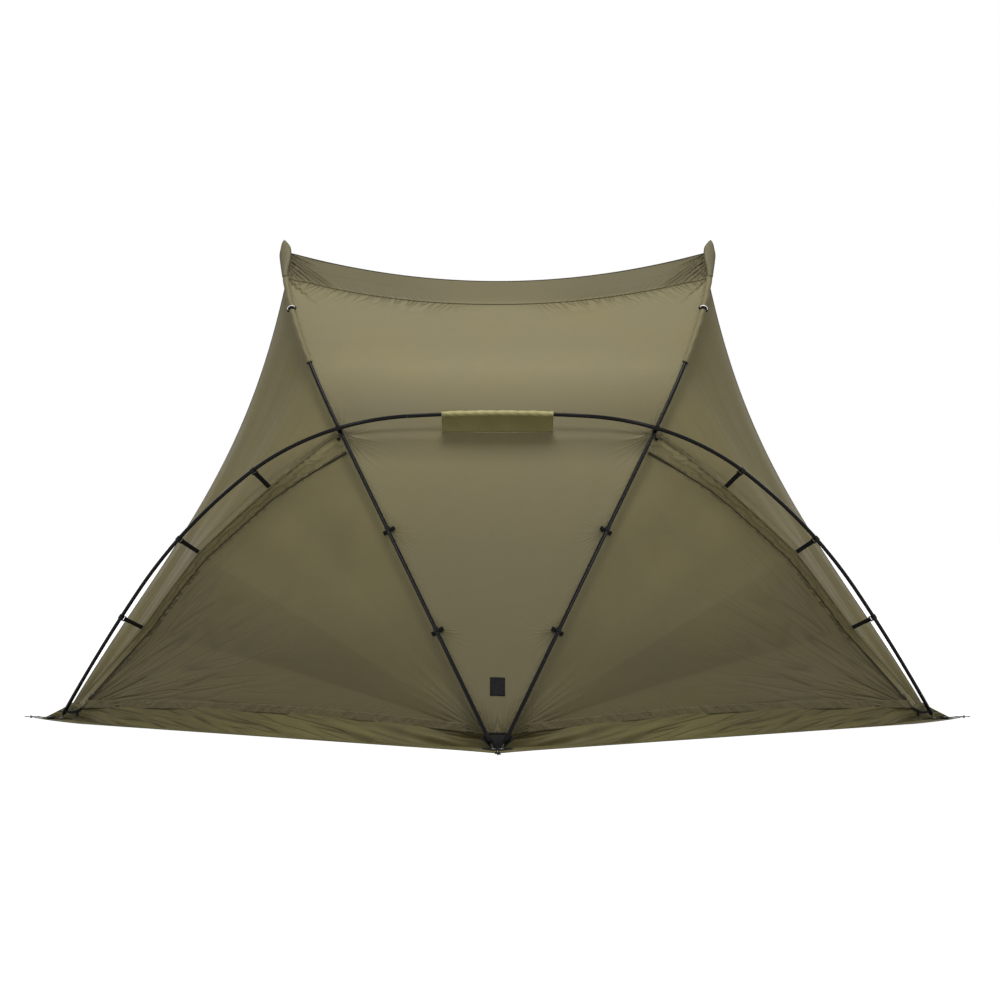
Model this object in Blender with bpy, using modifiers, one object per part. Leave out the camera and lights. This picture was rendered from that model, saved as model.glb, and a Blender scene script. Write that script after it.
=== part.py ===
"""Camping tarp shelter: two leaning poles rise from a rear patch, an arch pole crosses over them,
and an olive ripstop canopy hangs inside the poles with its front open.

Units are metres and degrees. +Z is up, +Y points to the open front and the shelter is symmetrical
about X = 0. The origin lies on the ground under the middle of the footprint.
"""
import math

import bmesh
import bpy
import numpy as np
from mathutils import Matrix, Vector

# Ground plan
REAR_Y = -0.596          # the two rear pole feet
FOOT_DEPTH = 1.30        # rear feet to the line through the arch feet
POLE_END_Z = 0.030       # height at which every pole tube ends above its pin

# Poles
POLE_R = 0.008
POLE_SIDES = 12
POLE_STEPS = 12          # straight steps that each section is bent in
SPIGOT_R = 0.0062
SPIGOT_LENGTH = 0.050
SOCKET_CLEARANCE = 0.0004
SECTION_GAP = 0.0004
PIN_R = 0.003
PIN_GROUND_GAP = 0.0018

# Arch pole: seven equal sections, bent the most at the shoulders
ARCH_SECTION = 0.731
ARCH_MIDDLE_BEND = 8.0
ARCH_BENDS = (37.0, 16.3, 4.4)
ARCH_LEAN = 30.0

# V poles: three equal sections, straight up to the arch and bowed above it
V_FOOT_HALF_GAP = 0.029
V_FOOT_FORWARD = 0.014
V_CROSSING_AT = 0.652
V_TIP_HALF_SPREAD = 0.903
V_TIP_DEPTH = 1.066
V_TIP_HEIGHT = 2.025
V_BOW_FROM = 0.05        # how far past the crossing the pole stays straight
V_BOW_REACH = 0.60
V_SECTIONS = 3
V_OUTWARD = (-0.30, -0.86, 0.36)
CROSSING_DISTANCE = 0.022

# Canopy cloth
CLOTH = 0.001
SEAM_INSET = 0.0012
RIDGE_STANDOFF = 0.104
SEAM_SLACK = 0.30        # how much of the arch's bow the seams keep between their straps
FLAP_WIDTH = 0.050
FLAP_LOW_WIDTH = 0.034
FLAP_NARROWS_FROM = 0.35
FLAP_TOP_DROP = 0.095
CORNER_RUN = 0.93        # share of the arch, from the crossing down, that the seams follow
CORNER_SEAM = (0.085, -0.060, 0.056)
CORNER_RIDGE = (0.050, 0.006, 0.058)
CORNER_FRONT = (0.022, 0.040, 0.050)
WING_SAG = 0.132
HUB_EDGE_AT = 0.035
WALL_START = 0.015
SEAM_LENGTH = 1.9        # about how long the zip line is
WALL_END_INSET = 0.006
WING_END_INSET = 0.004
WALL_BELLY = 0.010
HEM_RISE = 0.030
CROSS_SEAM_DROP = 0.155
FRONT_EDGE_DROP = 0.012
ROOF_SAG = 0.112
FRONT_SAG = 0.118
VISOR_REACH = 0.075
FOLD_DEPTH = 0.006

# Skirt
SKIRT_OUT = 0.100
SKIRT_FALL = 0.014
SKIRT_SLOPE = 0.070      # how far out the skirt reaches the ground away from its ends
SKIRT_SLOPE_BLEND = 0.10
SKIRT_CELLS = 22
SKIRT_TAIL_CELLS = 2     # the last cells, which run on past the wall and behind the foot
SKIRT_TAIL = (0.0, 0.070, 0.034)
SKIRT_TAIL_FALL = 0.006
SKIRT_TAIL_GROUND = (-0.075, 0.105)
SKIRT_HUB_POINT = 0.145
SKIRT_BLEND = 0.05
CORNER_POINT = (-0.105, 0.125)

# Sleeves and tip pockets
SLEEVE_R = 0.0115
SLEEVE_FROM = 1.824
SLEEVE_POCKET_GAP = 0.002
POCKET_LENGTH = 0.200
POCKET_HALF_WIDTH = 0.025
POCKET_ABOVE_TIP = 0.034
ARCH_SLEEVE_HALF = 0.226
ARCH_SLEEVE_FLAP = 0.097
ARCH_SLEEVE_DIP = -0.021
ARCH_LIFT_REACH = 0.35

# Clips and straps
CLIP_BORE_CLEARANCE = 0.0004
CLIP_WALL = 0.0028
CLIP_LENGTH = 0.018
CLIP_MOUTH = 76.0
CLIP_FRAME = 0.0034
CLIP_BAR_AT = 0.0183
CLIP_SLOT_HEIGHT = 0.0048
CLIP_SLOT_PLAY = 0.0007
CROSSING_WALL = 0.0025
CROSSING_WEB = 0.014
WEB_WIDTH = 0.020
WEB_THICK = 0.0016
STRAP_SEAM_GAP = 0.0045
EYE_R = 0.0029
EYE_WALL = 0.0011
ARCH_STRAPS_AT = (1.06, 1.52, 1.99)
V_CLIPS_AT = (0.51, 0.99)

# Tie rings
RING_BELOW_TIP = 0.331
RING_R = 0.0168
RING_WIRE = 0.0019
RING_TILT = 24.0
RING_LOOP_WIDTH = 0.005
RING_LOOP_GAP = 0.0005
RING_LOOP_HALF_LENGTH = 0.0060
RING_LOOP_SEWN_IN = 0.0008

# Zips
ZIP_AT = 0.955
SLIDER_WIDTH = 0.009
SLIDER_LENGTH = 0.013
SLIDER_THICK = 0.0022
SLIDER_GAP = 0.0012
BRIDGE_WIDTH = 0.0044
BRIDGE_R = 0.0031
BRIDGE_HOLE_R = 0.0017
PULL_LENGTH = 0.030
PULL_HALF_WIDTH = 0.0038
PULL_WIRE = 0.0010

# Corner webbing and pegging loops
CORNER_WEB_WIDTH = 0.025
CORNER_WEB_Z = 0.0055
CORNER_WEB_THICK = 0.002
CORNER_WEB_LENGTH = 0.124
CORNER_WEB_HEADING = 152.0
GROMMET_HOLE_R = 0.0062
GROMMET_R = 0.0100
GROMMET_RISE = 0.0010
CORNER_WEB_BEHIND = 0.018
BUCKLE_AT = 0.055
BUCKLE_LENGTH = 0.024
BUCKLE_WALL = 0.0028
BUCKLE_BAND = 0.005
BUCKLE_PLAY = 0.0006
LOOP_R = 0.0017
LOOP_LENGTH = 0.058
LOOP_HALF_WIDTH = 0.009
LOOP_SEWN_IN = 0.010
HOOK_EYE_R = 0.0046
HOOK_WIRE = 0.0016
HOOK_SHANK = 0.016
HOOK_CURL_R = 0.0060

# Hub patch
PATCH_Z = 0.0014
PATCH_THICK = 0.0030
PATCH_HALF_WIDTH = 0.060
PATCH_BACK_HALF_WIDTH = 0.022
PATCH_FRONT = 0.034
PATCH_BACK = 0.042
GATHER_HALF_WIDTH = 0.014
HUB_LOOP_LENGTH = 0.165

TOUCH = 0.0004
MERGE = 0.00002
V_STANDOFF = CLIP_BAR_AT + CLIP_FRAME / 2 + CLOTH / 2 + TOUCH

COLLECTION = "camping_tarp"
GUIDES = "cutters"


def material(name, colour, roughness, metallic=0.0):
    """Return the named material, made on first use."""
    found = bpy.data.materials.get(name)
    if found:
        return found
    made = bpy.data.materials.new(name)
    made.use_nodes = True
    shader = made.node_tree.nodes["Principled BSDF"]
    shader.inputs["Base Color"].default_value = (*colour, 1.0)
    shader.inputs["Roughness"].default_value = roughness
    shader.inputs["Metallic"].default_value = metallic
    return made


def olive_cloth():
    """Return the ripstop canopy cloth."""
    return material("olive_ripstop", (0.160, 0.135, 0.075), 0.62)


def skirt_cloth():
    """Return the greener skirt cloth."""
    return material("skirt_cloth", (0.115, 0.105, 0.055), 0.70)


def black_tube():
    """Return the anodised pole finish."""
    return material("black_anodised", (0.012, 0.012, 0.013), 0.30, 0.9)


def black_webbing():
    """Return the woven black webbing."""
    return material("black_webbing", (0.010, 0.010, 0.010), 0.85)


def black_plastic():
    """Return the moulded clip and buckle plastic."""
    return material("black_acetal", (0.014, 0.014, 0.014), 0.38)


def bright_steel():
    """Return the plated steel of rings and sliders."""
    return material("bright_steel", (0.62, 0.62, 0.60), 0.28, 1.0)


def collection(name):
    """Return the named collection, linked to the scene."""
    found = bpy.data.collections.get(name)
    if found:
        return found
    made = bpy.data.collections.new(name)
    bpy.context.scene.collection.children.link(made)
    return made


def group(name):
    """Return an empty that the sub-parts of one group hang from."""
    found = bpy.data.objects.get(name)
    if found:
        return found
    made = bpy.data.objects.new(name, None)
    collection(COLLECTION).objects.link(made)
    return made


def add_part(name, mesh, finish, parent, matrix=None):
    """Link a mesh as a named sub-part under its group and return the object."""
    mesh.materials.clear()
    mesh.materials.append(finish)
    made = bpy.data.objects.new(name, mesh)
    collection(COLLECTION).objects.link(made)
    made.parent = group(parent)
    if matrix is not None:
        made.matrix_world = matrix
    return made


def mesh_from(name, bm, smooth=True):
    """Turn a bmesh into a mesh with smooth faces and sharp edges kept."""
    mesh = bpy.data.meshes.new(name)
    bm.to_mesh(mesh)
    bm.free()
    if smooth:
        mesh.shade_smooth()
        mesh.set_sharp_from_angle(angle=math.radians(40.0))
    return mesh


def centred(name, mesh, finish, parent):
    """Add a mesh modelled in place, with its origin moved to its middle."""
    middle = sum((v.co for v in mesh.vertices), Vector()) / len(mesh.vertices)
    mesh.transform(Matrix.Translation(-middle))
    return add_part(name, mesh, finish, parent, Matrix.Translation(middle))


def unit(vector):
    """Return a vector at length one."""
    vector = np.asarray(vector, dtype=float)
    return vector / np.linalg.norm(vector)


def mix(start, end, share):
    """Return the point a share of the way from start to end."""
    return (1.0 - share) * np.asarray(start) + share * np.asarray(end)


def smooth_step(value):
    """Return a soft ramp from 0 to 1."""
    value = min(1.0, max(0.0, value))
    return value * value * (3.0 - 2.0 * value)


def mirrored(point):
    """Return the same place on the other side of X = 0."""
    return np.array((-point[0], point[1], point[2]))


class Route:
    """A pole's centre line, read by its running length, with a frame at each place."""

    def __init__(self, points, reference):
        self.points = np.array(points)
        steps = np.linalg.norm(np.diff(self.points, axis=0), axis=1)
        self.run = np.concatenate(([0.0], np.cumsum(steps)))
        self.length = float(self.run[-1])
        self.reference = np.array(reference, dtype=float)

    def at(self, s):
        """Return the point at running length s, carried on straight past the ends."""
        if s < 0.0:
            return self.points[0] + s * unit(self.points[1] - self.points[0])
        if s > self.length:
            return self.points[-1] + (s - self.length) * unit(self.points[-1] - self.points[-2])
        return np.array([np.interp(s, self.run, self.points[:, k]) for k in range(3)])

    def frame(self, s):
        """Return point, side, outward and along at running length s."""
        reach = 0.004
        along = unit(self.at(s + reach) - self.at(s - reach))
        outward = unit(self.reference - along * float(self.reference @ along))
        return self.at(s), np.cross(along, outward), outward, along

    def matrix(self, s):
        """Return a placement with Z along the pole and -Y towards the cloth."""
        point, side, outward, along = self.frame(s)
        towards = self.cloth_side(side, outward)
        across = np.cross(-towards, along)
        rows = np.column_stack((across, -towards, along, point))
        return Matrix([list(row) for row in rows] + [[0.0, 0.0, 0.0, 1.0]])

    def cloth_side(self, side, outward):
        """Return the direction in which the cloth lies from a V pole."""
        return -outward


class ArchRoute(Route):
    """The arch's centre line, whose cloth lies inside its bow."""

    def cloth_side(self, side, outward):
        """Return the direction in which the cloth lies from the arch."""
        return side


def arch_route():
    """Return the arch from its left foot over the top to its right foot."""
    lengths = (ARCH_SECTION / 2,) + (ARCH_SECTION,) * len(ARCH_BENDS)
    bends = (ARCH_MIDDLE_BEND / 2,) + ARCH_BENDS
    across, down, turn = 0.0, 0.0, 0.0
    half = [(0.0, 0.0)]
    step = ARCH_SECTION / POLE_STEPS
    for length, bend in zip(lengths, bends):
        count = round(length / step)
        for _ in range(count):
            turn += math.radians(bend) / count / 2
            across += step * math.cos(turn)
            down += step * math.sin(turn)
            turn += math.radians(bend) / count / 2
            half.append((across, down))
    lean = math.radians(ARCH_LEAN)
    points = []
    for x, fall in half:
        rise = down - fall
        y = REAR_Y + FOOT_DEPTH - rise * math.sin(lean)
        points.append((x, y, POLE_END_Z + rise * math.cos(lean)))
    left = [(-x, y, z) for x, y, z in reversed(points[1:])]
    return ArchRoute(left + points, (0.0, -math.cos(lean), -math.sin(lean)))


def v_route(arch):
    """Return the left V pole from its foot, under the arch, to its tip."""
    foot = np.array((-V_FOOT_HALF_GAP, REAR_Y + V_FOOT_FORWARD, POLE_END_Z))
    tip = np.array((-V_TIP_HALF_SPREAD, REAR_Y + V_TIP_DEPTH, V_TIP_HEIGHT))
    over, _, _, arch_along = arch.frame(arch.length / 2 - V_CROSSING_AT)
    outward = unit(np.cross(unit(over - foot), arch_along))
    crossing = over - outward * math.copysign(CROSSING_DISTANCE, outward[2])
    rise = unit(crossing - foot)
    start = crossing + rise * V_BOW_FROM
    knee = start + rise * V_BOW_REACH
    points = [foot]
    for k in range(49):
        u = k / 48
        points.append((1 - u) ** 2 * start + 2 * u * (1 - u) * knee + u ** 2 * tip)
    fine = Route(points, V_OUTWARD)
    count = V_SECTIONS * POLE_STEPS
    route = Route([fine.at(fine.length * k / count) for k in range(count + 1)], V_OUTWARD)
    route.crossing = float(np.linalg.norm(crossing - foot))
    return route


ARCH = arch_route()
V_LEFT = v_route(ARCH)
CROSSING_ON_ARCH = ARCH.length / 2 - V_CROSSING_AT


def flip(bm):
    """Mirror a bmesh across X = 0 and turn its faces out again."""
    bmesh.ops.scale(bm, vec=(-1.0, 1.0, 1.0), verts=bm.verts)
    bmesh.ops.reverse_faces(bm, faces=bm.faces)


def turned_on(route, start, profile, sides=POLE_SIDES):
    """Spin a profile of (distance, radius) pairs and lay it along a route."""
    bm = bmesh.new()
    verts = [bm.verts.new((radius, 0.0, distance)) for distance, radius in profile]
    edges = [bm.edges.new(pair) for pair in zip(verts, verts[1:])]
    bmesh.ops.spin(bm, geom=verts + edges, cent=(0, 0, 0), axis=(0, 0, 1),
                   angle=math.tau, steps=sides, use_merge=True)
    bmesh.ops.remove_doubles(bm, verts=bm.verts, dist=MERGE)
    bmesh.ops.recalc_face_normals(bm, faces=bm.faces)
    for vert in bm.verts:
        point, side, outward, _ = route.frame(start + vert.co.z)
        vert.co = Vector(point - side * vert.co.x + outward * vert.co.y)
    return bm


def pin_length(route, s):
    """Return how far a pin reaches from a pole's end to just above the ground."""
    point, _, _, along = route.frame(s)
    rise = abs(along[2])
    return (point[2] - PIN_GROUND_GAP - PIN_R * math.sqrt(1.0 - rise * rise)) / rise


def pole_profile(length, socket, spigot, pin):
    """Return a section's profile, from its lower end to its upper end.

    A lower end is a socket or a ground pin, and an upper end is a spigot or a closed end.
    """
    bore = SPIGOT_R + SOCKET_CLEARANCE
    if socket:
        depth = SPIGOT_LENGTH + SECTION_GAP
        profile = [(depth, 0.0), (depth, bore), (SECTION_GAP, bore), (SECTION_GAP, POLE_R)]
    else:
        profile = [(-pin, 0.0), (-pin, PIN_R), (0.0, PIN_R), (0.0, POLE_R)]
    profile += [(length * k / POLE_STEPS, POLE_R) for k in range(1, POLE_STEPS)]
    profile.append((length, POLE_R))
    if spigot:
        profile += [(length, SPIGOT_R), (length + SPIGOT_LENGTH - 2 * SECTION_GAP, SPIGOT_R),
                    (length + SPIGOT_LENGTH - 2 * SECTION_GAP, 0.0)]
    else:
        profile.append((length, 0.0))
    return profile


def build_arch_pole():
    """Build the arch's sections, with a ground pin at each foot."""
    count = 2 * len(ARCH_BENDS) + 1
    pin = pin_length(ARCH, 0.0)
    for k in range(count):
        profile = pole_profile(ARCH_SECTION, k > 0, k < count - 1, pin)
        if k == count - 1:
            profile = profile[:-1] + [(ARCH_SECTION, PIN_R), (ARCH_SECTION + pin, PIN_R),
                                      (ARCH_SECTION + pin, 0.0)]
        bm = turned_on(ARCH, k * ARCH_SECTION, profile)
        name = f"arch_pole_section_{k + 1}"
        centred(name, mesh_from(name, bm), black_tube(), "frame_poles")


def build_v_poles():
    """Build the sections of both V poles."""
    length = V_LEFT.length / V_SECTIONS
    pin = pin_length(V_LEFT, 0.0)
    for side in ("left", "right"):
        for k, place in enumerate(("lower", "middle", "upper")):
            profile = pole_profile(length, k > 0, k < V_SECTIONS - 1, pin)
            bm = turned_on(V_LEFT, k * length, profile)
            if side == "right":
                flip(bm)
            name = f"v_pole_{side}_{place}"
            centred(name, mesh_from(name, bm), black_tube(), "frame_poles")


def sheet(name, surface, across, along, finish, side="left", parent="canopy", thick=CLOTH):
    """Build cloth from a surface function of two shares from 0 to 1."""
    bm = bmesh.new()
    bmesh.ops.create_grid(bm, x_segments=across, y_segments=along, size=0.5)
    for vert in bm.verts:
        point = surface(vert.co.x + 0.5, vert.co.y + 0.5)
        vert.co = Vector(point if side == "left" else mirrored(point))
    bmesh.ops.remove_doubles(bm, verts=bm.verts, dist=MERGE)
    made = centred(name, mesh_from(name, bm), finish, parent)
    solid = made.modifiers.new("cloth", "SOLIDIFY")
    solid.thickness = thick
    solid.offset = 0.0
    return made


def v_seam(s):
    """Return the left V seam, where the cloth hangs under the pole."""
    point, _, outward, _ = V_LEFT.frame(s)
    return point - outward * V_STANDOFF


def hub_corner():
    """Return the cloth's lowest point beside the left V pole."""
    return v_seam(HUB_EDGE_AT)


def foot_point():
    """Return the left arch foot on the ground plan, at ground height."""
    x, y, _ = ARCH.at(0.0)
    return np.array((x, y, 0.0))


def seam_beside_arch(w, distance, at_v, corner):
    """Return a seam that the straps hold at a distance from the arch, nearly straight between.

    The distance is a function of the share along the seam.
    """
    def held(share):
        low = CROSSING_ON_ARCH * (1.0 - CORNER_RUN)
        point, inward, _, _ = ARCH.frame(mix(CROSSING_ON_ARCH, low, share))
        return point + inward * distance(share)
    stations = [0.0]
    for place in ARCH_STRAPS_AT:
        stations.append((place - V_CROSSING_AT) / (CROSSING_ON_ARCH * CORNER_RUN))
    stations.append(1.0)
    beside = [held(share) for share in stations]
    anchors = [at_v] + beside[1:-1] + [corner]
    taut = np.array([np.interp(w, stations, [point[k] for point in anchors]) for k in range(3)])
    chord = np.array([np.interp(w, stations, [point[k] for point in beside]) for k in range(3)])
    return taut + (held(w) - chord) * SEAM_SLACK


def ridge(w):
    """Return the seam that the arch straps hold, from the V seam (0) to the corner (1)."""
    corner = foot_point() + np.array(CORNER_RIDGE)
    return seam_beside_arch(w, lambda share: RIDGE_STANDOFF, v_seam(V_LEFT.crossing), corner)


def flap_distance(w):
    """Return the zip line's distance from the arch, less towards the corner."""
    narrow = smooth_step((w - FLAP_NARROWS_FROM) / (1.0 - 2.0 * FLAP_NARROWS_FROM))
    return RIDGE_STANDOFF + FLAP_WIDTH + (FLAP_LOW_WIDTH - FLAP_WIDTH) * narrow


def flap_seam(w):
    """Return the zip line, one flap width inside the ridge."""
    corner = foot_point() + np.array(CORNER_SEAM)
    at_v = v_seam(V_LEFT.crossing - FLAP_TOP_DROP)
    return seam_beside_arch(w, flap_distance, at_v, corner)


def front_edge(w):
    """Return the wing's open front edge, from the pole tip (0) to the corner (1)."""
    top = v_seam(V_LEFT.length - CROSS_SEAM_DROP)
    corner = foot_point() + np.array(CORNER_FRONT)
    chord = corner - top
    inward = unit((-chord[2], 0.0, chord[0]))
    sag = WING_SAG * math.sin(math.pi * w) * (1.3 - w)
    return mix(top, corner, w) + inward * sag


def inset(share, inset_length, full_length):
    """Return a share squeezed so that both ends stop an inset short."""
    edge = inset_length / full_length
    return edge + share * (1.0 - 2.0 * edge)


def rear_wall(a, b):
    """Return the rear wall: a along the zip line, b from the hub out to it."""
    w = inset(a, WALL_END_INSET, SEAM_LENGTH)
    rim = flap_seam(w)
    apex = hub_corner()
    reach = float(np.linalg.norm(rim - apex))
    share = WALL_START + b * (1.0 - WALL_START - SEAM_INSET / reach)
    point = mix(apex, rim, share)
    hem = math.sin(math.pi * share) * smooth_step((w - 0.55) / 0.45)
    point[2] += HEM_RISE * hem
    fan = math.sin(26.0 * w) * smooth_step((share - 0.25) / 0.5) * smooth_step((w - 0.5) / 0.3)
    fade = 1.0 - smooth_step((share - 0.85) / 0.15)
    normal = unit((-0.5, -0.75, 0.42))
    belly = math.sin(math.pi * share) * math.sin(math.pi * w)
    return point + normal * (FOLD_DEPTH * fan * fade + WALL_BELLY * belly)


def side_wing(a, b):
    """Return the wing: a from the V seam to the corner, b from the zip line to the front."""
    w = inset(a, WING_END_INSET, SEAM_LENGTH)
    low = flap_seam(w)
    mid = ridge(w)
    far = front_edge(w)
    flap_share = 0.2
    first = SEAM_INSET / max(SEAM_INSET, float(np.linalg.norm(mid - low)))
    if b < flap_share:
        return mix(low, mid, first + (1.0 - first) * b / flap_share)
    share = (b - flap_share) / (1.0 - flap_share)
    point = mix(mid, far, share)
    start = V_LEFT.crossing
    end = V_LEFT.length - CROSS_SEAM_DROP
    on_seam = v_seam(start + share * (end - start))
    bow = on_seam - mix(v_seam(start), v_seam(end), share)
    fold = math.sin(math.pi * share) * math.sin(math.pi * w)
    drape = FOLD_DEPTH * math.sin(9.0 * w + 4.0 * share) * fold
    return point + bow * (1.0 - w) ** 2 + unit((-0.7, -0.2, 0.3)) * drape


def arch_lift(s):
    """Return how far the arch sleeve lifts the cloth's middle at a place up the V seams."""
    point, inward, outward, _ = ARCH.frame(ARCH.length / 2)
    held = point + inward * ARCH_SLEEVE_FLAP + outward * ARCH_SLEEVE_DIP
    row = v_seam(V_LEFT.crossing)
    row[0] = 0.0
    return (held - row) * math.exp(-((s - V_LEFT.crossing) / ARCH_LIFT_REACH) ** 2)


def between_v_seams(a, s, sag):
    """Return a point across the gap between the V seams, sagging in the middle."""
    left = v_seam(s)
    left[0] += SEAM_INSET + CLOTH
    across = 2.0 * a - 1.0
    point = np.array((-left[0] * across, left[1], left[2]))
    point[2] -= sag * (1.0 - across * across)
    return point + arch_lift(s) * (1.0 - across * across)


def rear_center(a, b):
    """Return the rear centre panel, from the hub up to the arch."""
    s = HUB_EDGE_AT + b * (V_LEFT.crossing - SEAM_INSET - HUB_EDGE_AT)
    return between_v_seams(a, s, 0.0)


def roof_sag(s):
    """Return how far the roof sags in its middle at a place up the V seams."""
    end = V_LEFT.length - CROSS_SEAM_DROP
    return ROOF_SAG * smooth_step((s - V_LEFT.crossing) / (end - V_LEFT.crossing)) ** 1.2


def roof(a, b):
    """Return the roof panel, from the arch up to the cross seam."""
    start = V_LEFT.crossing + SEAM_INSET
    end = V_LEFT.length - CROSS_SEAM_DROP - SEAM_INSET
    s = start + b * (end - start)
    return between_v_seams(a, s, roof_sag(s))


def visor(a, b):
    """Return the visor, from the cross seam to the open front edge."""
    start = V_LEFT.length - CROSS_SEAM_DROP + SEAM_INSET
    end = V_LEFT.length - FRONT_EDGE_DROP
    s = start + b * (end - start)
    point = between_v_seams(a, s, ROOF_SAG + b * (FRONT_SAG - ROOF_SAG))
    across = 1.0 - (2.0 * a - 1.0) ** 2
    point[1] += VISOR_REACH * b * across
    from_tip = min(a, 1.0 - a)
    fan = math.sin(math.pi * b) * math.exp(-from_tip / 0.12) * (1.0 - math.exp(-from_tip / 0.02))
    point[2] += 2.0 * FOLD_DEPTH * fan * math.sin(120.0 * from_tip - 9.0 * b)
    return point


def skirt(a, b):
    """Return the skirt: a from the hub to its tail, b from the hem to its outer edge."""
    wall_share = 1.0 - SKIRT_TAIL_CELLS / SKIRT_CELLS
    beyond = max(0.0, (a - wall_share) / (1.0 - wall_share))
    hub = np.array((0.0, REAR_Y, CLOTH / 2))
    foot = foot_point() + np.array((0.0, 0.0, CLOTH / 2))
    heading = unit(foot - hub)
    outwards = np.array((-heading[1], heading[0], 0.0))
    inner = rear_wall(1.0, min(1.0, a / wall_share))
    inner[2] -= CLOTH + TOUCH + SEAM_INSET
    inner[0] *= smooth_step(a / SKIRT_BLEND)
    inner = mix(inner, foot + np.array(SKIRT_TAIL), beyond)
    sloping = smooth_step((a - SKIRT_BLEND) / SKIRT_SLOPE_BLEND)
    sloping *= smooth_step((wall_share - a) / SKIRT_SLOPE_BLEND)
    fall = mix(SKIRT_FALL, SKIRT_SLOPE, sloping)
    fall = mix(fall, SKIRT_TAIL_FALL, beyond)
    ground = np.array((inner[0], inner[1], CLOTH / 2)) + outwards * fall
    tail = foot + np.array((*SKIRT_TAIL_GROUND, 0.0))
    ground = mix(ground, tail, smooth_step(2.0 * beyond - 1.0))
    outer = mix(hub, foot, a) + outwards * SKIRT_OUT
    outer = mix(hub - np.array((0.0, SKIRT_HUB_POINT, 0.0)), outer, smooth_step(a / SKIRT_BLEND))
    outer = mix(outer, foot + np.array((*CORNER_POINT, 0.0)), smooth_step(beyond))
    point = mix(inner, ground, min(1.0, 2.0 * b))
    if b > 0.5:
        point = mix(ground, outer, 2.0 * b - 1.0)
    point[0] = min(point[0], -CLOTH / 2 - TOUCH / 2)
    return point


def build_canopy():
    """Build every panel of the canopy."""
    for side in ("left", "right"):
        sheet(f"rear_wall_{side}", rear_wall, 18, 10, olive_cloth(), side)
        sheet(f"side_wing_{side}", side_wing, 16, 10, olive_cloth(), side)
        sheet(f"skirt_{side}", skirt, SKIRT_CELLS, 4, skirt_cloth(), side)
    sheet("rear_center_panel", rear_center, 12, 12, olive_cloth())
    sheet("roof_panel", roof, 16, 12, olive_cloth())
    sheet("visor_panel", visor, 28, 4, olive_cloth())


def tube_surface(route, start, end, radius):
    """Return the surface of a cloth tube round a route."""
    def surface(a, b):
        point, side, outward, _ = route.frame(start + b * (end - start))
        turn = math.tau * a
        return point - side * radius * math.cos(turn) + outward * radius * math.sin(turn)
    return surface


def pocket_surface(a, b):
    """Return the tip pocket: a round it, b from its mouth up to its rounded end."""
    end = V_LEFT.length + POCKET_ABOVE_TIP
    point, side, outward, _ = V_LEFT.frame(end - POCKET_LENGTH * (1.0 - b))
    widest, flat_until = 0.62, 0.70
    half = mix(SLEEVE_R, POCKET_HALF_WIDTH, smooth_step(b / widest))
    if b > widest:
        half = POCKET_HALF_WIDTH * math.sqrt(max(0.0, 1.0 - ((b - widest) / (1.0 - widest)) ** 2))
    deep = SLEEVE_R
    if b > flat_until:
        share = (b - flat_until) / (1.0 - flat_until)
        deep = SLEEVE_R * math.sqrt(max(0.0, 1.0 - share ** 2))
    turn = math.tau * a
    lean = (POCKET_HALF_WIDTH - SLEEVE_R) * 0.4 * smooth_step(b)
    return point - side * (half * math.cos(turn) + lean) + outward * deep * math.sin(turn)


def arch_sleeve_surface(a, b):
    """Return the arch sleeve: a flap from the roof seam, then once round the pole."""
    s = ARCH.length / 2 + (2.0 * b - 1.0) * ARCH_SLEEVE_HALF
    point, inward, outward, _ = ARCH.frame(s)
    flap_part, first, last = 0.375, math.radians(-25.0), math.radians(-345.0)
    turn = first + (last - first) * max(0.0, a - flap_part) / (1.0 - flap_part)
    around = point + SLEEVE_R * (inward * math.cos(turn) + outward * math.sin(turn))
    row = abs(v_seam(V_LEFT.crossing)[0])
    foot = between_v_seams(0.5 + point[0] / (2.0 * row), V_LEFT.crossing, 0.0)
    foot = foot - inward * (CLOTH + 2.0 * TOUCH)
    return mix(foot, around, min(1.0, a / flap_part))


def ring_place():
    """Return the running length on a V pole at which its tie ring hangs."""
    return V_LEFT.length - RING_BELOW_TIP


def ring_loop(sign):
    """Return a webbing loop that is sewn to the sleeve and holds one side of the tie ring."""
    root = SLEEVE_R + CLOTH / 2 - RING_LOOP_SEWN_IN
    far = RING_R + RING_WIRE + RING_LOOP_GAP
    half, out = RING_LOOP_HALF_LENGTH, far + WEB_THICK
    outline = [(root, -half), (out, -half), (out, half), (root, half), (root, half - WEB_THICK),
               (far, half - WEB_THICK), (far, WEB_THICK - half), (root, WEB_THICK - half)]
    placed = prism([[(sign * x, z) for x, z in outline]], RING_LOOP_WIDTH)
    stand = Matrix.Rotation(math.pi / 2, 4, "X")
    return turned_mesh(placed, V_LEFT.matrix(ring_place()) @ stand)


def build_sleeves():
    """Build the pole sleeves with their ring loops, the tip pockets and the arch sleeve."""
    mouth = V_LEFT.length + POCKET_ABOVE_TIP - POCKET_LENGTH
    tube = tube_surface(V_LEFT, SLEEVE_FROM, mouth - SLEEVE_POCKET_GAP, SLEEVE_R)
    sleeve = joined([cloth_mesh(tube, 12, 6), ring_loop(1.0), ring_loop(-1.0)])
    centred("pole_sleeve_right", mirrored_mesh(sleeve), olive_cloth(), "canopy")
    centred("pole_sleeve_left", sleeve, olive_cloth(), "canopy")
    for side in ("left", "right"):
        sheet(f"tip_pocket_{side}", pocket_surface, 12, 9, olive_cloth(), side)
    sheet("arch_sleeve", arch_sleeve_surface, 16, 8, skirt_cloth())


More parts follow.
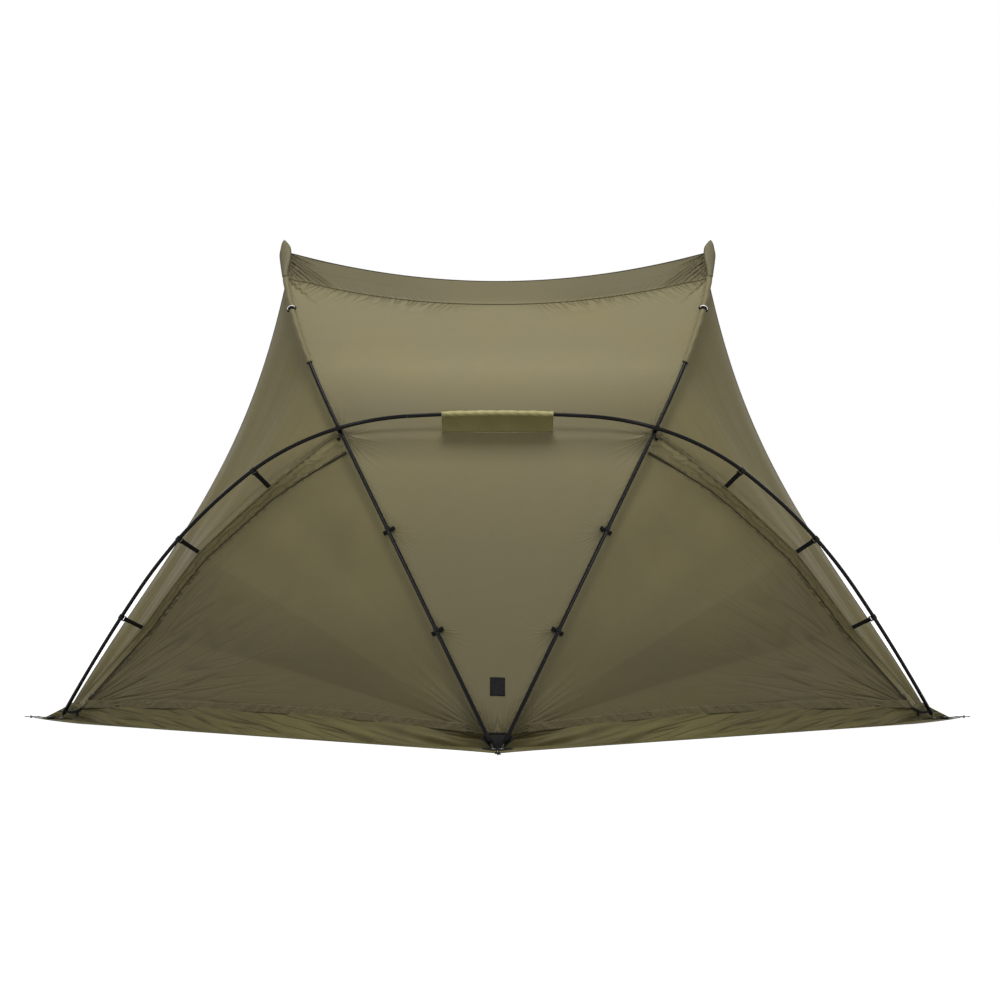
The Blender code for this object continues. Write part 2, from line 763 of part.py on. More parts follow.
def cloth_mesh(surface, across, along):
    """Return thick cloth as a mesh, ready to be joined to other shapes."""
    bm = bmesh.new()
    bmesh.ops.create_grid(bm, x_segments=across, y_segments=along, size=0.5)
    for vert in bm.verts:
        vert.co = Vector(surface(vert.co.x + 0.5, vert.co.y + 0.5))
    bmesh.ops.remove_doubles(bm, verts=bm.verts, dist=MERGE)
    bmesh.ops.recalc_face_normals(bm, faces=bm.faces)
    flat = bpy.data.objects.new("flat", mesh_from("flat", bm))
    collection(GUIDES).objects.link(flat)
    solid = flat.modifiers.new("cloth", "SOLIDIFY")
    solid.thickness = CLOTH
    solid.offset = 0.0
    shown = flat.evaluated_get(bpy.context.evaluated_depsgraph_get())
    mesh = bpy.data.meshes.new_from_object(shown)
    bpy.data.objects.remove(flat, do_unlink=True)
    return mesh


def arc(radius, start, end, steps, centre=(0.0, 0.0)):
    """Return points along a circular arc, angles in degrees."""
    turns = [math.radians(start + (end - start) * k / steps) for k in range(steps + 1)]
    return [(centre[0] + radius * math.cos(t), centre[1] + radius * math.sin(t)) for t in turns]


def prism(loops, depth):
    """Return a closed mesh: a flat outline with its holes, made thick along Z."""
    curve = bpy.data.curves.new("outline", "CURVE")
    curve.dimensions = "2D"
    curve.fill_mode = "BOTH"
    curve.extrude = depth / 2
    for loop in loops:
        spline = curve.splines.new("POLY")
        spline.points.add(len(loop) - 1)
        for point, (x, y) in zip(spline.points, loop):
            point.co = (x, y, 0.0, 1.0)
        spline.use_cyclic_u = True
    return mesh_of_curve(curve)


def wire(points, radius, resolution=2, cyclic=False):
    """Return a closed mesh: a round wire along points, its ends capped."""
    curve = bpy.data.curves.new("wire", "CURVE")
    curve.dimensions = "3D"
    curve.bevel_depth = radius
    curve.bevel_resolution = resolution
    curve.use_fill_caps = True
    spline = curve.splines.new("POLY")
    spline.points.add(len(points) - 1)
    for point, place in zip(spline.points, points):
        point.co = (*place, 1.0)
    spline.use_cyclic_u = cyclic
    return mesh_of_curve(curve)


def mesh_of_curve(curve):
    """Turn a curve into a welded mesh and remove it."""
    curve.render_resolution_u = 0
    guide = bpy.data.objects.new("guide", curve)
    collection(GUIDES).objects.link(guide)
    shown = guide.evaluated_get(bpy.context.evaluated_depsgraph_get())
    mesh = bpy.data.meshes.new_from_object(shown)
    bpy.data.objects.remove(guide, do_unlink=True)
    bm = bmesh.new()
    bm.from_mesh(mesh)
    bmesh.ops.remove_doubles(bm, verts=bm.verts, dist=MERGE)
    bmesh.ops.recalc_face_normals(bm, faces=bm.faces)
    bm.to_mesh(mesh)
    bm.free()
    return mesh


def block(size, middle=(0.0, 0.0, 0.0)):
    """Return a box mesh."""
    bm = bmesh.new()
    bmesh.ops.create_cube(bm, size=1.0)
    bmesh.ops.scale(bm, vec=size, verts=bm.verts)
    bmesh.ops.translate(bm, vec=middle, verts=bm.verts)
    return mesh_from("block", bm, smooth=False)


def joined(meshes, operation="UNION"):
    """Return the first mesh with the others joined to it or cut from it."""
    base = bpy.data.objects.new("base", meshes[0])
    collection(GUIDES).objects.link(base)
    tools = []
    for mesh in meshes[1:]:
        tool = bpy.data.objects.new("tool", mesh)
        tool.hide_render = True
        tool.display_type = "WIRE"
        collection(GUIDES).objects.link(tool)
        step = base.modifiers.new("join", "BOOLEAN")
        step.operation = operation
        step.object = tool
        tools.append(tool)
    shown = base.evaluated_get(bpy.context.evaluated_depsgraph_get())
    mesh = bpy.data.meshes.new_from_object(shown)
    for used in tools + [base]:
        bpy.data.objects.remove(used, do_unlink=True)
    mesh.shade_smooth()
    mesh.set_sharp_from_angle(angle=math.radians(35.0))
    return mesh


def turned_mesh(mesh, matrix):
    """Return a mesh after moving it by a matrix."""
    mesh.transform(matrix)
    return mesh


def grip(wall, mouth_at, length):
    """Return a snap grip: a broken ring round a pole, open towards an angle."""
    inner = POLE_R + CLIP_BORE_CLEARANCE
    first = mouth_at + CLIP_MOUTH / 2
    last = mouth_at + 360.0 - CLIP_MOUTH / 2
    return prism([arc(inner + wall, first, last, 14) + arc(inner, last, first, 14)], length)


def clip_mesh():
    """Return a snap clip: a side-opening grip over a frame with a webbing slot."""
    bar_low = -CLIP_BAR_AT - CLIP_FRAME / 2
    slot_low = -CLIP_BAR_AT + CLIP_FRAME / 2
    slot_high = slot_low + CLIP_SLOT_HEIGHT
    top = slot_high + CLIP_FRAME * 0.6
    slot_half = WEB_WIDTH / 2 + CLIP_SLOT_PLAY
    half = slot_half + CLIP_FRAME * 0.8
    outline = [(-half, bar_low), (half, bar_low), (half, top), (-half, top)]
    slot = [(-slot_half, slot_low), (slot_half, slot_low), (slot_half, slot_high),
            (-slot_half, slot_high)]
    frame = turned_mesh(prism([outline, slot], CLIP_FRAME), Matrix.Rotation(math.pi / 2, 4, "Y"))
    return joined([grip(CLIP_WALL, 0.0, CLIP_LENGTH), frame])


def strap_mesh():
    """Return an arch strap: webbing with an eye round the clip's bar."""
    outer = EYE_R + EYE_WALL
    lean = math.degrees(math.asin(WEB_THICK / 2 / outer))
    end = -(RIDGE_STANDOFF - CLOTH / 2 - STRAP_SEAM_GAP)
    eye = arc(outer, -90.0 + lean, 270.0 - lean, 14, (0.0, -CLIP_BAR_AT))
    outline = [(WEB_THICK / 2, end)] + eye + [(-WEB_THICK / 2, end)]
    hole = arc(EYE_R, 0.0, 330.0, 11, (0.0, -CLIP_BAR_AT))
    return prism([outline, hole], WEB_WIDTH)


def crossing_mesh():
    """Return the double clip that holds the arch over the left V pole."""
    lower = V_LEFT.matrix(V_LEFT.crossing)
    point, _, _, along = ARCH.frame(CROSSING_ON_ARCH)
    out = point - np.array(lower.translation)
    out = unit(out - along * float(out @ along))
    across = np.cross(out, along)
    rows = np.column_stack((across, out, along, point))
    upper = Matrix([list(row) for row in rows] + [[0.0, 0.0, 0.0, 1.0]])
    place = lower.inverted() @ upper
    top = turned_mesh(grip(CROSSING_WALL, 90.0, CLIP_LENGTH), place)
    web = block((CROSSING_WEB, CROSSING_DISTANCE - 2 * POLE_R - CROSSING_WALL, CROSSING_WEB),
                (0.0, -CROSSING_DISTANCE / 2, 0.0))
    return joined([grip(CROSSING_WALL, -90.0, CLIP_LENGTH), turned_mesh(web, place), top])


def mirrored_mesh(mesh):
    """Return a copy of a mesh mirrored across its own X = 0."""
    bm = bmesh.new()
    bm.from_mesh(mesh)
    flip(bm)
    return mesh_from(mesh.name, bm)


def mirrored_matrix(matrix):
    """Return the placement on the other side for a mesh mirrored across its own X = 0."""
    swap = Matrix.Scale(-1.0, 4, (1.0, 0.0, 0.0))
    return swap @ matrix @ swap


def add_pair(name, mesh, finish, parent, matrix):
    """Add a sub-part and its mirror image, which differ only by side."""
    add_part(f"{name}_left", mesh, finish, parent, matrix)
    add_part(f"{name}_right", mirrored_mesh(mesh), finish, parent, mirrored_matrix(matrix))


def build_clips():
    """Build the arch clips with their straps, the V pole clips and the crossing clips."""
    clip, strap = clip_mesh(), strap_mesh()
    for k, place in enumerate(ARCH_STRAPS_AT):
        matrix = ARCH.matrix(ARCH.length / 2 - place)
        add_pair(f"arch_clip_{k + 1}", clip, black_plastic(), "fittings", matrix)
        add_pair(f"arch_strap_{k + 1}", strap, black_webbing(), "fittings", matrix)
    for k, place in enumerate(V_CLIPS_AT):
        add_pair(f"v_clip_{k + 1}", clip, black_plastic(), "fittings", V_LEFT.matrix(place))
    add_pair("crossing_clip", crossing_mesh(), black_plastic(), "fittings",
             V_LEFT.matrix(V_LEFT.crossing))


def build_rings():
    """Build the tie rings that hang round the pole sleeves."""
    bpy.ops.mesh.primitive_torus_add(major_radius=RING_R, minor_radius=RING_WIRE,
                                     major_segments=24, minor_segments=8)
    ring = bpy.context.object.data
    bpy.data.objects.remove(bpy.context.object, do_unlink=True)
    ring.shade_smooth()
    tilt = Matrix.Rotation(math.radians(RING_TILT), 4, "X")
    add_pair("tie_ring", ring, bright_steel(), "fittings", V_LEFT.matrix(ring_place()) @ tilt)


def zip_matrix():
    """Return the left slider's placement: Y up the zip, Z out from the cloth."""
    step = 0.01
    low, point, high = flap_seam(ZIP_AT + step), flap_seam(ZIP_AT), flap_seam(ZIP_AT - step)
    along = unit(high - low)
    wall = np.cross(unit(hub_corner() - point), along)
    wing = np.cross(along, unit(ridge(ZIP_AT) - point))
    out = unit(unit(wall) + unit(wing))
    across = np.cross(along, out)
    rows = np.column_stack((across, along, out, point))
    return Matrix([list(row) for row in rows] + [[0.0, 0.0, 0.0, 1.0]])


def bridge_height():
    """Return the height of the slider's bridge hole above the zip line."""
    return CLOTH / 2 + SLIDER_GAP + SLIDER_THICK + BRIDGE_HOLE_R + 0.0006


def build_zips():
    """Build the zip sliders and their pulls."""
    low = CLOTH / 2 + SLIDER_GAP
    hole_at = bridge_height()
    body = block((SLIDER_WIDTH, SLIDER_LENGTH, SLIDER_THICK), (0.0, 0.0, low + SLIDER_THICK / 2))
    outline = [(BRIDGE_R, low + SLIDER_THICK / 2)] + arc(BRIDGE_R, 0.0, 180.0, 8, (0.0, hole_at))
    outline.append((-BRIDGE_R, low + SLIDER_THICK / 2))
    hole = arc(BRIDGE_HOLE_R, 0.0, 324.0, 9, (0.0, hole_at))
    bridge = prism([outline, hole], BRIDGE_WIDTH)
    stand = Matrix.Rotation(math.pi / 2, 4, "Z") @ Matrix.Rotation(math.pi / 2, 4, "X")
    slider = joined([body, turned_mesh(bridge, stand)])
    add_pair("zip_slider", slider, bright_steel(), "fittings", zip_matrix())
    corner = PULL_HALF_WIDTH * 0.6
    rounded = []
    for x, y, start in ((1, 0, 0), (-1, 0, 90), (-1, -1, 180), (1, -1, 270)):
        middle = (x * (PULL_HALF_WIDTH - corner), -corner if y == 0 else corner - PULL_LENGTH)
        rounded += arc(corner, start, start + 90, 3, middle)
    pull = wire([(x, y, 0.0) for x, y in rounded], PULL_WIRE, 1, cyclic=True)
    place = zip_matrix() @ Matrix.Translation((0.0, 0.0, hole_at))
    add_pair("zip_pull", pull, black_plastic(), "fittings", place)


def pin_point(route, height):
    """Return where a pole's ground pin passes a height."""
    point, _, _, along = route.frame(0.0)
    return point + along * (height - point[2]) / along[2]


def loop_points(length, rise):
    """Return a pegging loop's wire, out along +X and back, both ends sewn in."""
    straight = length - LOOP_HALF_WIDTH
    points = [(-LOOP_SEWN_IN, -LOOP_HALF_WIDTH, 0.0)]
    points += [(straight * k / 4, -LOOP_HALF_WIDTH, rise * smooth_step(k / 4)) for k in range(4)]
    points += [(x, y, rise) for x, y in arc(LOOP_HALF_WIDTH, -90, 90, 8, (straight, 0.0))]
    return points + [(x, -y, z) for x, y, z in points[4::-1]]


def hook_mesh():
    """Return a pegging hook along +X: an eye round the loop, a shank and a curl."""
    points = [(HOOK_EYE_R * math.cos(t), 0.0, HOOK_EYE_R * math.sin(t))
              for t in np.radians(np.linspace(25.0, 340.0, 13))]
    start = points[-1]
    points += [(HOOK_EYE_R * 1.7, 0.0, start[2] * 0.3), (HOOK_EYE_R * 2.4, 0.0, 0.0)]
    shank_end = HOOK_EYE_R + HOOK_SHANK
    points += [(x, y, 0.0) for x, y in
               arc(HOOK_CURL_R, -90.0, 150.0, 9, (shank_end, HOOK_CURL_R))]
    return wire(points, HOOK_WIRE, 2)


def rectangle(half_x, half_y):
    """Return the corners of a rectangle about its middle."""
    return [(-half_x, -half_y), (half_x, -half_y), (half_x, half_y), (-half_x, half_y)]


def buckle_mesh():
    """Return a ladder buckle along X: three bands round the webbing on two side rails."""
    wide = CORNER_WEB_WIDTH / 2 + BUCKLE_PLAY
    high = CORNER_WEB_THICK / 2 + BUCKLE_PLAY
    loops = [rectangle(high + BUCKLE_WALL, wide + BUCKLE_WALL), rectangle(high, wide)]
    stand = Matrix.Rotation(math.pi / 2, 4, "Y")
    parts = []
    for share in (-0.5, 0.0, 0.5):
        shift = Matrix.Translation((share * (BUCKLE_LENGTH - BUCKLE_BAND), 0.0, 0.0))
        parts.append(turned_mesh(prism(loops, BUCKLE_BAND), shift @ stand))
    rail = (BUCKLE_LENGTH - BUCKLE_BAND, BUCKLE_WALL * 0.8, 2 * high)
    for side in (-1, 1):
        parts.append(block(rail, (0.0, side * (wide + BUCKLE_WALL / 2), 0.0)))
    return joined(parts)


def build_corners():
    """Build the corner webbing with its pegging loops, the buckles and the hooks."""
    foot = pin_point(ARCH, CORNER_WEB_Z + CORNER_WEB_THICK / 2)
    turn = Matrix.Rotation(math.radians(CORNER_WEB_HEADING), 4, "Z")
    place = Matrix.Translation(foot) @ turn
    half = CORNER_WEB_WIDTH / 2
    end = CORNER_WEB_LENGTH - CORNER_WEB_BEHIND
    outline = [(-CORNER_WEB_BEHIND, -half), (end - half / 2, -half), (end, -half / 2),
               (end, half / 2), (end - half / 2, half), (-CORNER_WEB_BEHIND, half)]
    hole = arc(GROMMET_HOLE_R, 0.0, 345.0, 23)
    web = prism([outline, hole], CORNER_WEB_THICK)
    grommet = prism([arc(GROMMET_R, 0.0, 345.0, 23), hole], CORNER_WEB_THICK + GROMMET_RISE)
    loop = wire(loop_points(LOOP_LENGTH, 0.0), LOOP_R, 1)
    loop = turned_mesh(loop, Matrix.Translation((end, 0.0, 0.0)))
    add_pair("corner_webbing", joined([web, grommet, loop]), black_webbing(), "fittings", place)
    add_pair("corner_buckle", buckle_mesh(), black_plastic(), "fittings",
             place @ Matrix.Translation((BUCKLE_AT, 0.0, 0.0)))
    far = place @ Matrix.Translation((end + LOOP_LENGTH, 0.0, 0.0))
    add_pair("peg_hook", hook_mesh(), black_plastic(), "fittings", far)


def build_hub():
    """Build the rear patch with its grommets, gathers and pegging loop, and its hook."""
    foot = pin_point(V_LEFT, PATCH_Z + PATCH_THICK / 2)
    middle = Vector((0.0, foot[1], PATCH_Z + PATCH_THICK / 2))
    outline = [(-PATCH_BACK_HALF_WIDTH, -PATCH_BACK), (PATCH_BACK_HALF_WIDTH, -PATCH_BACK),
               (PATCH_HALF_WIDTH, PATCH_FRONT * 0.4), (PATCH_HALF_WIDTH * 0.85, PATCH_FRONT),
               (-PATCH_HALF_WIDTH * 0.85, PATCH_FRONT), (-PATCH_HALF_WIDTH, PATCH_FRONT * 0.4)]
    left_hole = arc(GROMMET_HOLE_R, 0.0, 345.0, 23, (foot[0], 0.0))
    right_hole = arc(GROMMET_HOLE_R, 0.0, 345.0, 23, (-foot[0], 0.0))
    patch = prism([outline, left_hole, right_hole], PATCH_THICK)
    rims = []
    for x, hole in ((foot[0], left_hole), (-foot[0], right_hole)):
        rim = prism([arc(GROMMET_R, 0.0, 345.0, 23, (x, 0.0)), hole], PATCH_THICK + GROMMET_RISE)
        rims.append(turned_mesh(rim, Matrix.Translation((0.0, 0.0, GROMMET_RISE / 2))))
    edge = between_v_seams(0.5, HUB_EDGE_AT, 0.0)
    bottom = Vector((0.0, 0.004, PATCH_THICK * 0.1))
    top = Vector((0.0, edge[1] - middle[1], edge[2] - middle[2] - CLOTH - TOUCH))
    rise = top - bottom
    gather = block((2 * GATHER_HALF_WIDTH, 0.0022, rise.length))
    lean = Matrix.Rotation(-math.atan2(rise.y, rise.z), 4, "X")
    gather = turned_mesh(gather, Matrix.Translation((bottom + top) / 2) @ lean)
    rise_out = CORNER_WEB_Z + CORNER_WEB_THICK / 2 - middle.z
    loop = wire(loop_points(HUB_LOOP_LENGTH, rise_out), LOOP_R, 1)
    to_rear = Matrix.Translation((0.0, -PATCH_BACK, 0.0)) @ Matrix.Rotation(-math.pi / 2, 4, "Z")
    parts = [patch] + rims + [gather, turned_mesh(loop, to_rear)]
    add_part("hub_patch", joined(parts), black_webbing(), "fittings", Matrix.Translation(middle))
    far = Matrix.Translation(middle) @ to_rear @ Matrix.Translation((HUB_LOOP_LENGTH, 0.0, rise_out))
    add_part("peg_hook_rear", hook_mesh(), black_plastic(), "fittings", far)


def build_all():
    """Clear the scene and build the shelter."""
    for old in list(bpy.data.objects):
        bpy.data.objects.remove(old, do_unlink=True)
    build_arch_pole()
    build_v_poles()
    build_canopy()
    build_sleeves()
    build_clips()
    build_rings()
    build_zips()
    build_corners()
    build_hub()


build_all()
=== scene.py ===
"""Dresses the camping tarp shelter: cloth, seams, webbing, poles, fittings and a plain studio.

Units are metres and degrees. +Z is up, +Y points to the open front, and the camera stands behind
the shelter. Places repeat the construction's driving sizes, so each piece lies on what carries it.
"""

import logging
import math
from dataclasses import dataclass
from enum import Enum
from typing import Callable, Iterable, Sequence

import bmesh
import bpy
import numpy as np
from mathutils import Matrix, Vector


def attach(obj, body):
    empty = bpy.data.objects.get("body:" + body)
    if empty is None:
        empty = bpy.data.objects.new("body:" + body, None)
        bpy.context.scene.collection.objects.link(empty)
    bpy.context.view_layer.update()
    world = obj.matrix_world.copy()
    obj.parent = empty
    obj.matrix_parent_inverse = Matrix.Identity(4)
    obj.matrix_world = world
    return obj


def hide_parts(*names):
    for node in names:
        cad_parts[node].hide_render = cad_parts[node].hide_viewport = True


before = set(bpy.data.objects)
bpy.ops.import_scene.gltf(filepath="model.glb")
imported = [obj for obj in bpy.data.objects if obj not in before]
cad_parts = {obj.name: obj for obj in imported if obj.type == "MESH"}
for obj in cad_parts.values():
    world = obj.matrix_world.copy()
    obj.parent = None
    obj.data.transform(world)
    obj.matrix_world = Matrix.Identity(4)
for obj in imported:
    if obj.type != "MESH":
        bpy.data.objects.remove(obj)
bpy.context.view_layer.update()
LOG = logging.getLogger("camping_tarp")

ROOT = "shelter"
MERGE = 0.00002
# Degrees past which an edge stays sharp.
SMOOTH_CLOTH, SMOOTH_TAPE, SMOOTH_TUBE, SMOOTH_HARD = 60.0, 50.0, 35.0, 40.0
# Lengths that keep a division away from zero.
TINY, SHORT = 1e-6, 1e-4

Points = np.ndarray


class Side(Enum):
    """The two halves of the shelter, seen from behind."""

    LEFT = "left"
    RIGHT = "right"

    @property
    def sign(self) -> float:
        """Factor on X that carries a left-hand shape to this side."""
        return 1.0 if self is Side.LEFT else -1.0

    @property
    def flip(self) -> Points:
        """Factors that carry a left-hand point to this side."""
        return np.array((self.sign, 1.0, 1.0))


@dataclass(frozen=True)
class Layout:
    """The construction's driving sizes that the cloth and trim are laid out from."""

    rear_y: float = -0.596
    foot_depth: float = 1.30
    pole_end_z: float = 0.030
    pole_radius: float = 0.008
    section_length: float = 0.731
    middle_bend: float = 8.0
    bends: tuple[float, ...] = (37.0, 16.3, 4.4)
    arch_lean: float = 30.0
    steps: int = 48
    v_foot_half_gap: float = 0.029
    v_foot_forward: float = 0.014
    v_crossing_at: float = 0.652
    v_clips_at: tuple[float, ...] = (0.51, 0.99)
    v_tip: tuple[float, float, float] = (0.903, 1.066, 2.025)
    v_bow_from: float = 0.05
    v_bow_reach: float = 0.60
    v_outward: tuple[float, float, float] = (-0.30, -0.86, 0.36)
    crossing_distance: float = 0.022
    v_standoff: float = 0.0209
    ridge_standoff: float = 0.104
    seam_slack: float = 0.30
    straps_at: tuple[float, ...] = (1.06, 1.52, 1.99)
    flap_width: float = 0.050
    flap_low_width: float = 0.034
    flap_narrows_from: float = 0.35
    flap_top_drop: float = 0.095
    corner_run: float = 0.93
    corner_seam: tuple[float, float, float] = (0.085, -0.060, 0.056)
    corner_ridge: tuple[float, float, float] = (0.050, 0.006, 0.058)
    corner_front: tuple[float, float, float] = (0.022, 0.040, 0.050)
    wing_sag: float = 0.132
    hub_edge_at: float = 0.035
    hem_rise: float = 0.030
    cross_seam_drop: float = 0.155
    front_edge_drop: float = 0.012
    roof_sag: float = 0.112
    front_sag: float = 0.118
    visor_reach: float = 0.075
    arch_lift_reach: float = 0.35
    arch_flap: float = 0.097
    arch_dip: float = -0.021
    arch_sleeve_half: float = 0.226
    sleeve_radius: float = 0.0115
    sleeve_from: float = 1.824
    pocket_length: float = 0.200
    pocket_half_width: float = 0.025
    pocket_above_tip: float = 0.034


def unit(vector: Sequence[float]) -> Points:
    """Return a vector, or each row of an array of them, at length one."""
    vector = np.asarray(vector, dtype=float)
    return vector / np.linalg.norm(vector, axis=-1, keepdims=True)


def ramp(value: Points | float) -> Points:
    """Return a soft step from 0 to 1."""
    value = np.clip(value, 0.0, 1.0)
    return value * value * (3.0 - 2.0 * value)


def column(value: Points) -> Points:
    """Return a row of numbers as a column, to scale rows of points."""
    return np.asarray(value, dtype=float)[..., None]


def wander(x: Points, y: Points, seed: float) -> Points:
    """Return smooth irregular numbers from about -1 to 1 over a plane, the same each run."""
    turn = seed * 12.9898
    total = np.sin(x * 1.7 + y * 0.6 + turn) + np.sin(x * 0.9 - y * 1.9 + turn * 1.7)
    total = total + np.sin(x * 2.9 + y * 1.3 + 1.3 * np.sin(y * 0.8 + turn) + turn * 0.5)
    return total / 2.4


class PoleLine:
    """A pole's centre line, read by its running length."""

    def __init__(self, points: Points, reference: Sequence[float]) -> None:
        """Keep the line's points and the direction that counts as outward."""
        self.points = np.asarray(points, dtype=float)
        steps = np.linalg.norm(np.diff(self.points, axis=0), axis=1)
        self.run = np.concatenate(([0.0], np.cumsum(steps)))
        self.length = float(self.run[-1])
        self.reference = np.asarray(reference, dtype=float)
        self.crossing = 0.0

    def at(self, s: Points | float) -> Points:
        """Return the points at running lengths s, carried on straight past the ends."""
        s = np.asarray(s, dtype=float)
        inside = np.clip(s, 0.0, self.length)
        found = np.stack([np.interp(inside, self.run, self.points[:, k]) for k in range(3)], -1)
        first = unit(self.points[1] - self.points[0])
        last = unit(self.points[-1] - self.points[-2])
        found = found + column(np.minimum(s, 0.0)) * first
        return found + column(np.maximum(s - self.length, 0.0)) * last

    def frame(self, s: Points | float) -> tuple[Points, Points, Points, Points]:
        """Return point, side, outward and along at running lengths s."""
        s = np.asarray(s, dtype=float)
        reach = 0.008
        along = unit(self.at(s + reach) - self.at(s - reach))
        lean = np.sum(along * self.reference, axis=-1)
        outward = unit(self.reference - along * column(lean))
        return self.at(s), np.cross(along, outward), outward, along


class Shape:
    """The shelter's seam lines on its left half, from the layout."""

    def __init__(self, layout: Layout) -> None:
        """Lay out the poles and the seams that hang from them."""
        self.layout = layout
        self.arch = self._arch_line()
        self.pole = self._v_line()
        self.arch_crossing = self.arch.length / 2 - layout.v_crossing_at
        self.cross = self.pole.length - layout.cross_seam_drop
        self.end = self.pole.length - layout.front_edge_drop

    def _arch_line(self) -> PoleLine:
        """Return the arch from its left foot over the top to its right foot."""
        lay = self.layout
        lengths = (lay.section_length / 2,) + (lay.section_length,) * len(lay.bends)
        bends = (lay.middle_bend / 2,) + lay.bends
        step = lay.section_length / lay.steps
        across, down, turn = 0.0, 0.0, 0.0
        half = [(0.0, 0.0)]
        for length, bend in zip(lengths, bends):
            count = round(length / step)
            for _ in range(count):
                turn += math.radians(bend) / count / 2
                across += step * math.cos(turn)
                down += step * math.sin(turn)
                turn += math.radians(bend) / count / 2
                half.append((across, down))
        lean = math.radians(lay.arch_lean)
        right = np.array([(x, lay.rear_y + lay.foot_depth - (down - fall) * math.sin(lean),
                           lay.pole_end_z + (down - fall) * math.cos(lean)) for x, fall in half])
        left = right[:0:-1] * (-1.0, 1.0, 1.0)
        return PoleLine(np.vstack((left, right)), (0.0, -math.cos(lean), -math.sin(lean)))

    def _v_line(self) -> PoleLine:
        """Return the left V pole from its foot, under the arch, to its tip."""
        lay = self.layout
        foot = np.array((-lay.v_foot_half_gap, lay.rear_y + lay.v_foot_forward, lay.pole_end_z))
        tip = np.array((-lay.v_tip[0], lay.rear_y + lay.v_tip[1], lay.v_tip[2]))
        over, _, _, arch_along = self.arch.frame(self.arch.length / 2 - lay.v_crossing_at)
        outward = unit(np.cross(unit(over - foot), arch_along))
        crossing = over - outward * math.copysign(lay.crossing_distance, outward[2])
        rise = unit(crossing - foot)
        start = crossing + rise * lay.v_bow_from
        knee = start + rise * lay.v_bow_reach
        u = column(np.linspace(0.0, 1.0, 97))
        bow = (1 - u) ** 2 * start + 2 * u * (1 - u) * knee + u ** 2 * tip
        line = PoleLine(np.vstack((foot, bow)), lay.v_outward)
        line.crossing = float(np.linalg.norm(crossing - foot))
        return line

    def v_seam(self, s: Points | float) -> Points:
        """Return the left V seam, where the cloth hangs under the pole."""
        point, _, outward, _ = self.pole.frame(s)
        return point - outward * self.layout.v_standoff

    def hub_corner(self) -> Points:
        """Return the cloth's lowest point beside the left V pole."""
        return self.v_seam(self.layout.hub_edge_at)

    def wall_axes(self) -> tuple[Points, Points]:
        """Return a wall's directions along its hem, from the corner, and up in its plane."""
        corner = self.flap_seam(1.0)
        along = unit(self.hub_corner() - corner)
        rise = self.flap_seam(0.8) - corner
        return along, unit(rise - along * float(rise @ along))

    def hem_lift(self) -> Points:
        """Return how far a wall's hem rises at its middle, in the wall's plane."""
        _, rise = self.wall_axes()
        return rise * (self.layout.hem_rise / rise[2])

    def foot(self) -> Points:
        """Return the left arch foot at ground height."""
        return self.arch.at(0.0) * (1.0, 1.0, 0.0)

    def _beside_arch(self, w: Points, distance: Callable[[Points], Points], at_v: Points,
                     corner: Points) -> Points:
        """Return a seam drawn taut between its ends and the straps that hold it.

        Args:
            w: Shares along the seam, from the V seam (0) to the corner (1).
            distance: How far inside the arch the seam lies at each share.
            at_v: The seam's end on the V seam.
            corner: Its end at the corner.

        Returns:
            The seam's points.
        """
        lay = self.layout
        run = self.arch_crossing * lay.corner_run

        def held(share: Points) -> Points:
            """Return the places inside the bow, each at its own distance from the arch."""
            point, inward, _, _ = self.arch.frame(self.arch_crossing - run * share)
            return point + inward * column(distance(share))

        straps = [(place - lay.v_crossing_at) / run for place in lay.straps_at]
        stations = np.array([0.0, *straps, 1.0])
        beside = held(stations)
        anchors = np.vstack((at_v, beside[1:-1], corner))
        point = held(w)
        for k in range(3):
            bow = point[..., k] - np.interp(w, stations, beside[:, k])
            point[..., k] = np.interp(w, stations, anchors[:, k]) + bow * lay.seam_slack
        return point

    def ridge(self, w: Points) -> Points:
        """Return the seam that the arch straps hold."""
        lay = self.layout
        corner = self.foot() + np.array(lay.corner_ridge)
        return self._beside_arch(np.asarray(w, dtype=float),
                                 lambda share: np.full_like(share, lay.ridge_standoff),
                                 self.v_seam(self.pole.crossing), corner)

    def flap_distance(self, share: Points) -> Points:
        """Return the zip line's distance from the arch, less towards the corner."""
        lay = self.layout
        narrow = ramp((share - lay.flap_narrows_from) / (1.0 - 2.0 * lay.flap_narrows_from))
        return lay.ridge_standoff + lay.flap_width + (lay.flap_low_width - lay.flap_width) * narrow

    def flap_seam(self, w: Points) -> Points:
        """Return the zip line, one flap width inside the ridge."""
        lay = self.layout
        corner = self.foot() + np.array(lay.corner_seam)
        at_v = self.v_seam(self.pole.crossing - lay.flap_top_drop)
        return self._beside_arch(np.asarray(w, dtype=float), self.flap_distance, at_v, corner)

    def front_edge(self, w: Points) -> Points:
        """Return the wing's open front edge, from the pole tip (0) to the corner (1)."""
        lay = self.layout
        w = np.asarray(w, dtype=float)
        top = self.v_seam(self.cross)
        corner = self.foot() + np.array(lay.corner_front)
        chord = corner - top
        inward = unit((-chord[2], 0.0, chord[0]))
        sag = lay.wing_sag * np.sin(np.pi * w) * (1.3 - w)
        return top + column(w) * chord + column(sag) * inward

    def arch_lift(self, s: Points) -> Points:
        """Return how far the arch sleeve lifts the cloth's middle."""
        lay = self.layout
        point, inward, outward, _ = self.arch.frame(self.arch.length / 2)
        held = point + inward * lay.arch_flap + outward * lay.arch_dip
        row = self.v_seam(self.pole.crossing) * (0.0, 1.0, 1.0)
        near = np.exp(-((np.asarray(s) - self.pole.crossing) / lay.arch_lift_reach) ** 2)
        return (held - row) * column(near)

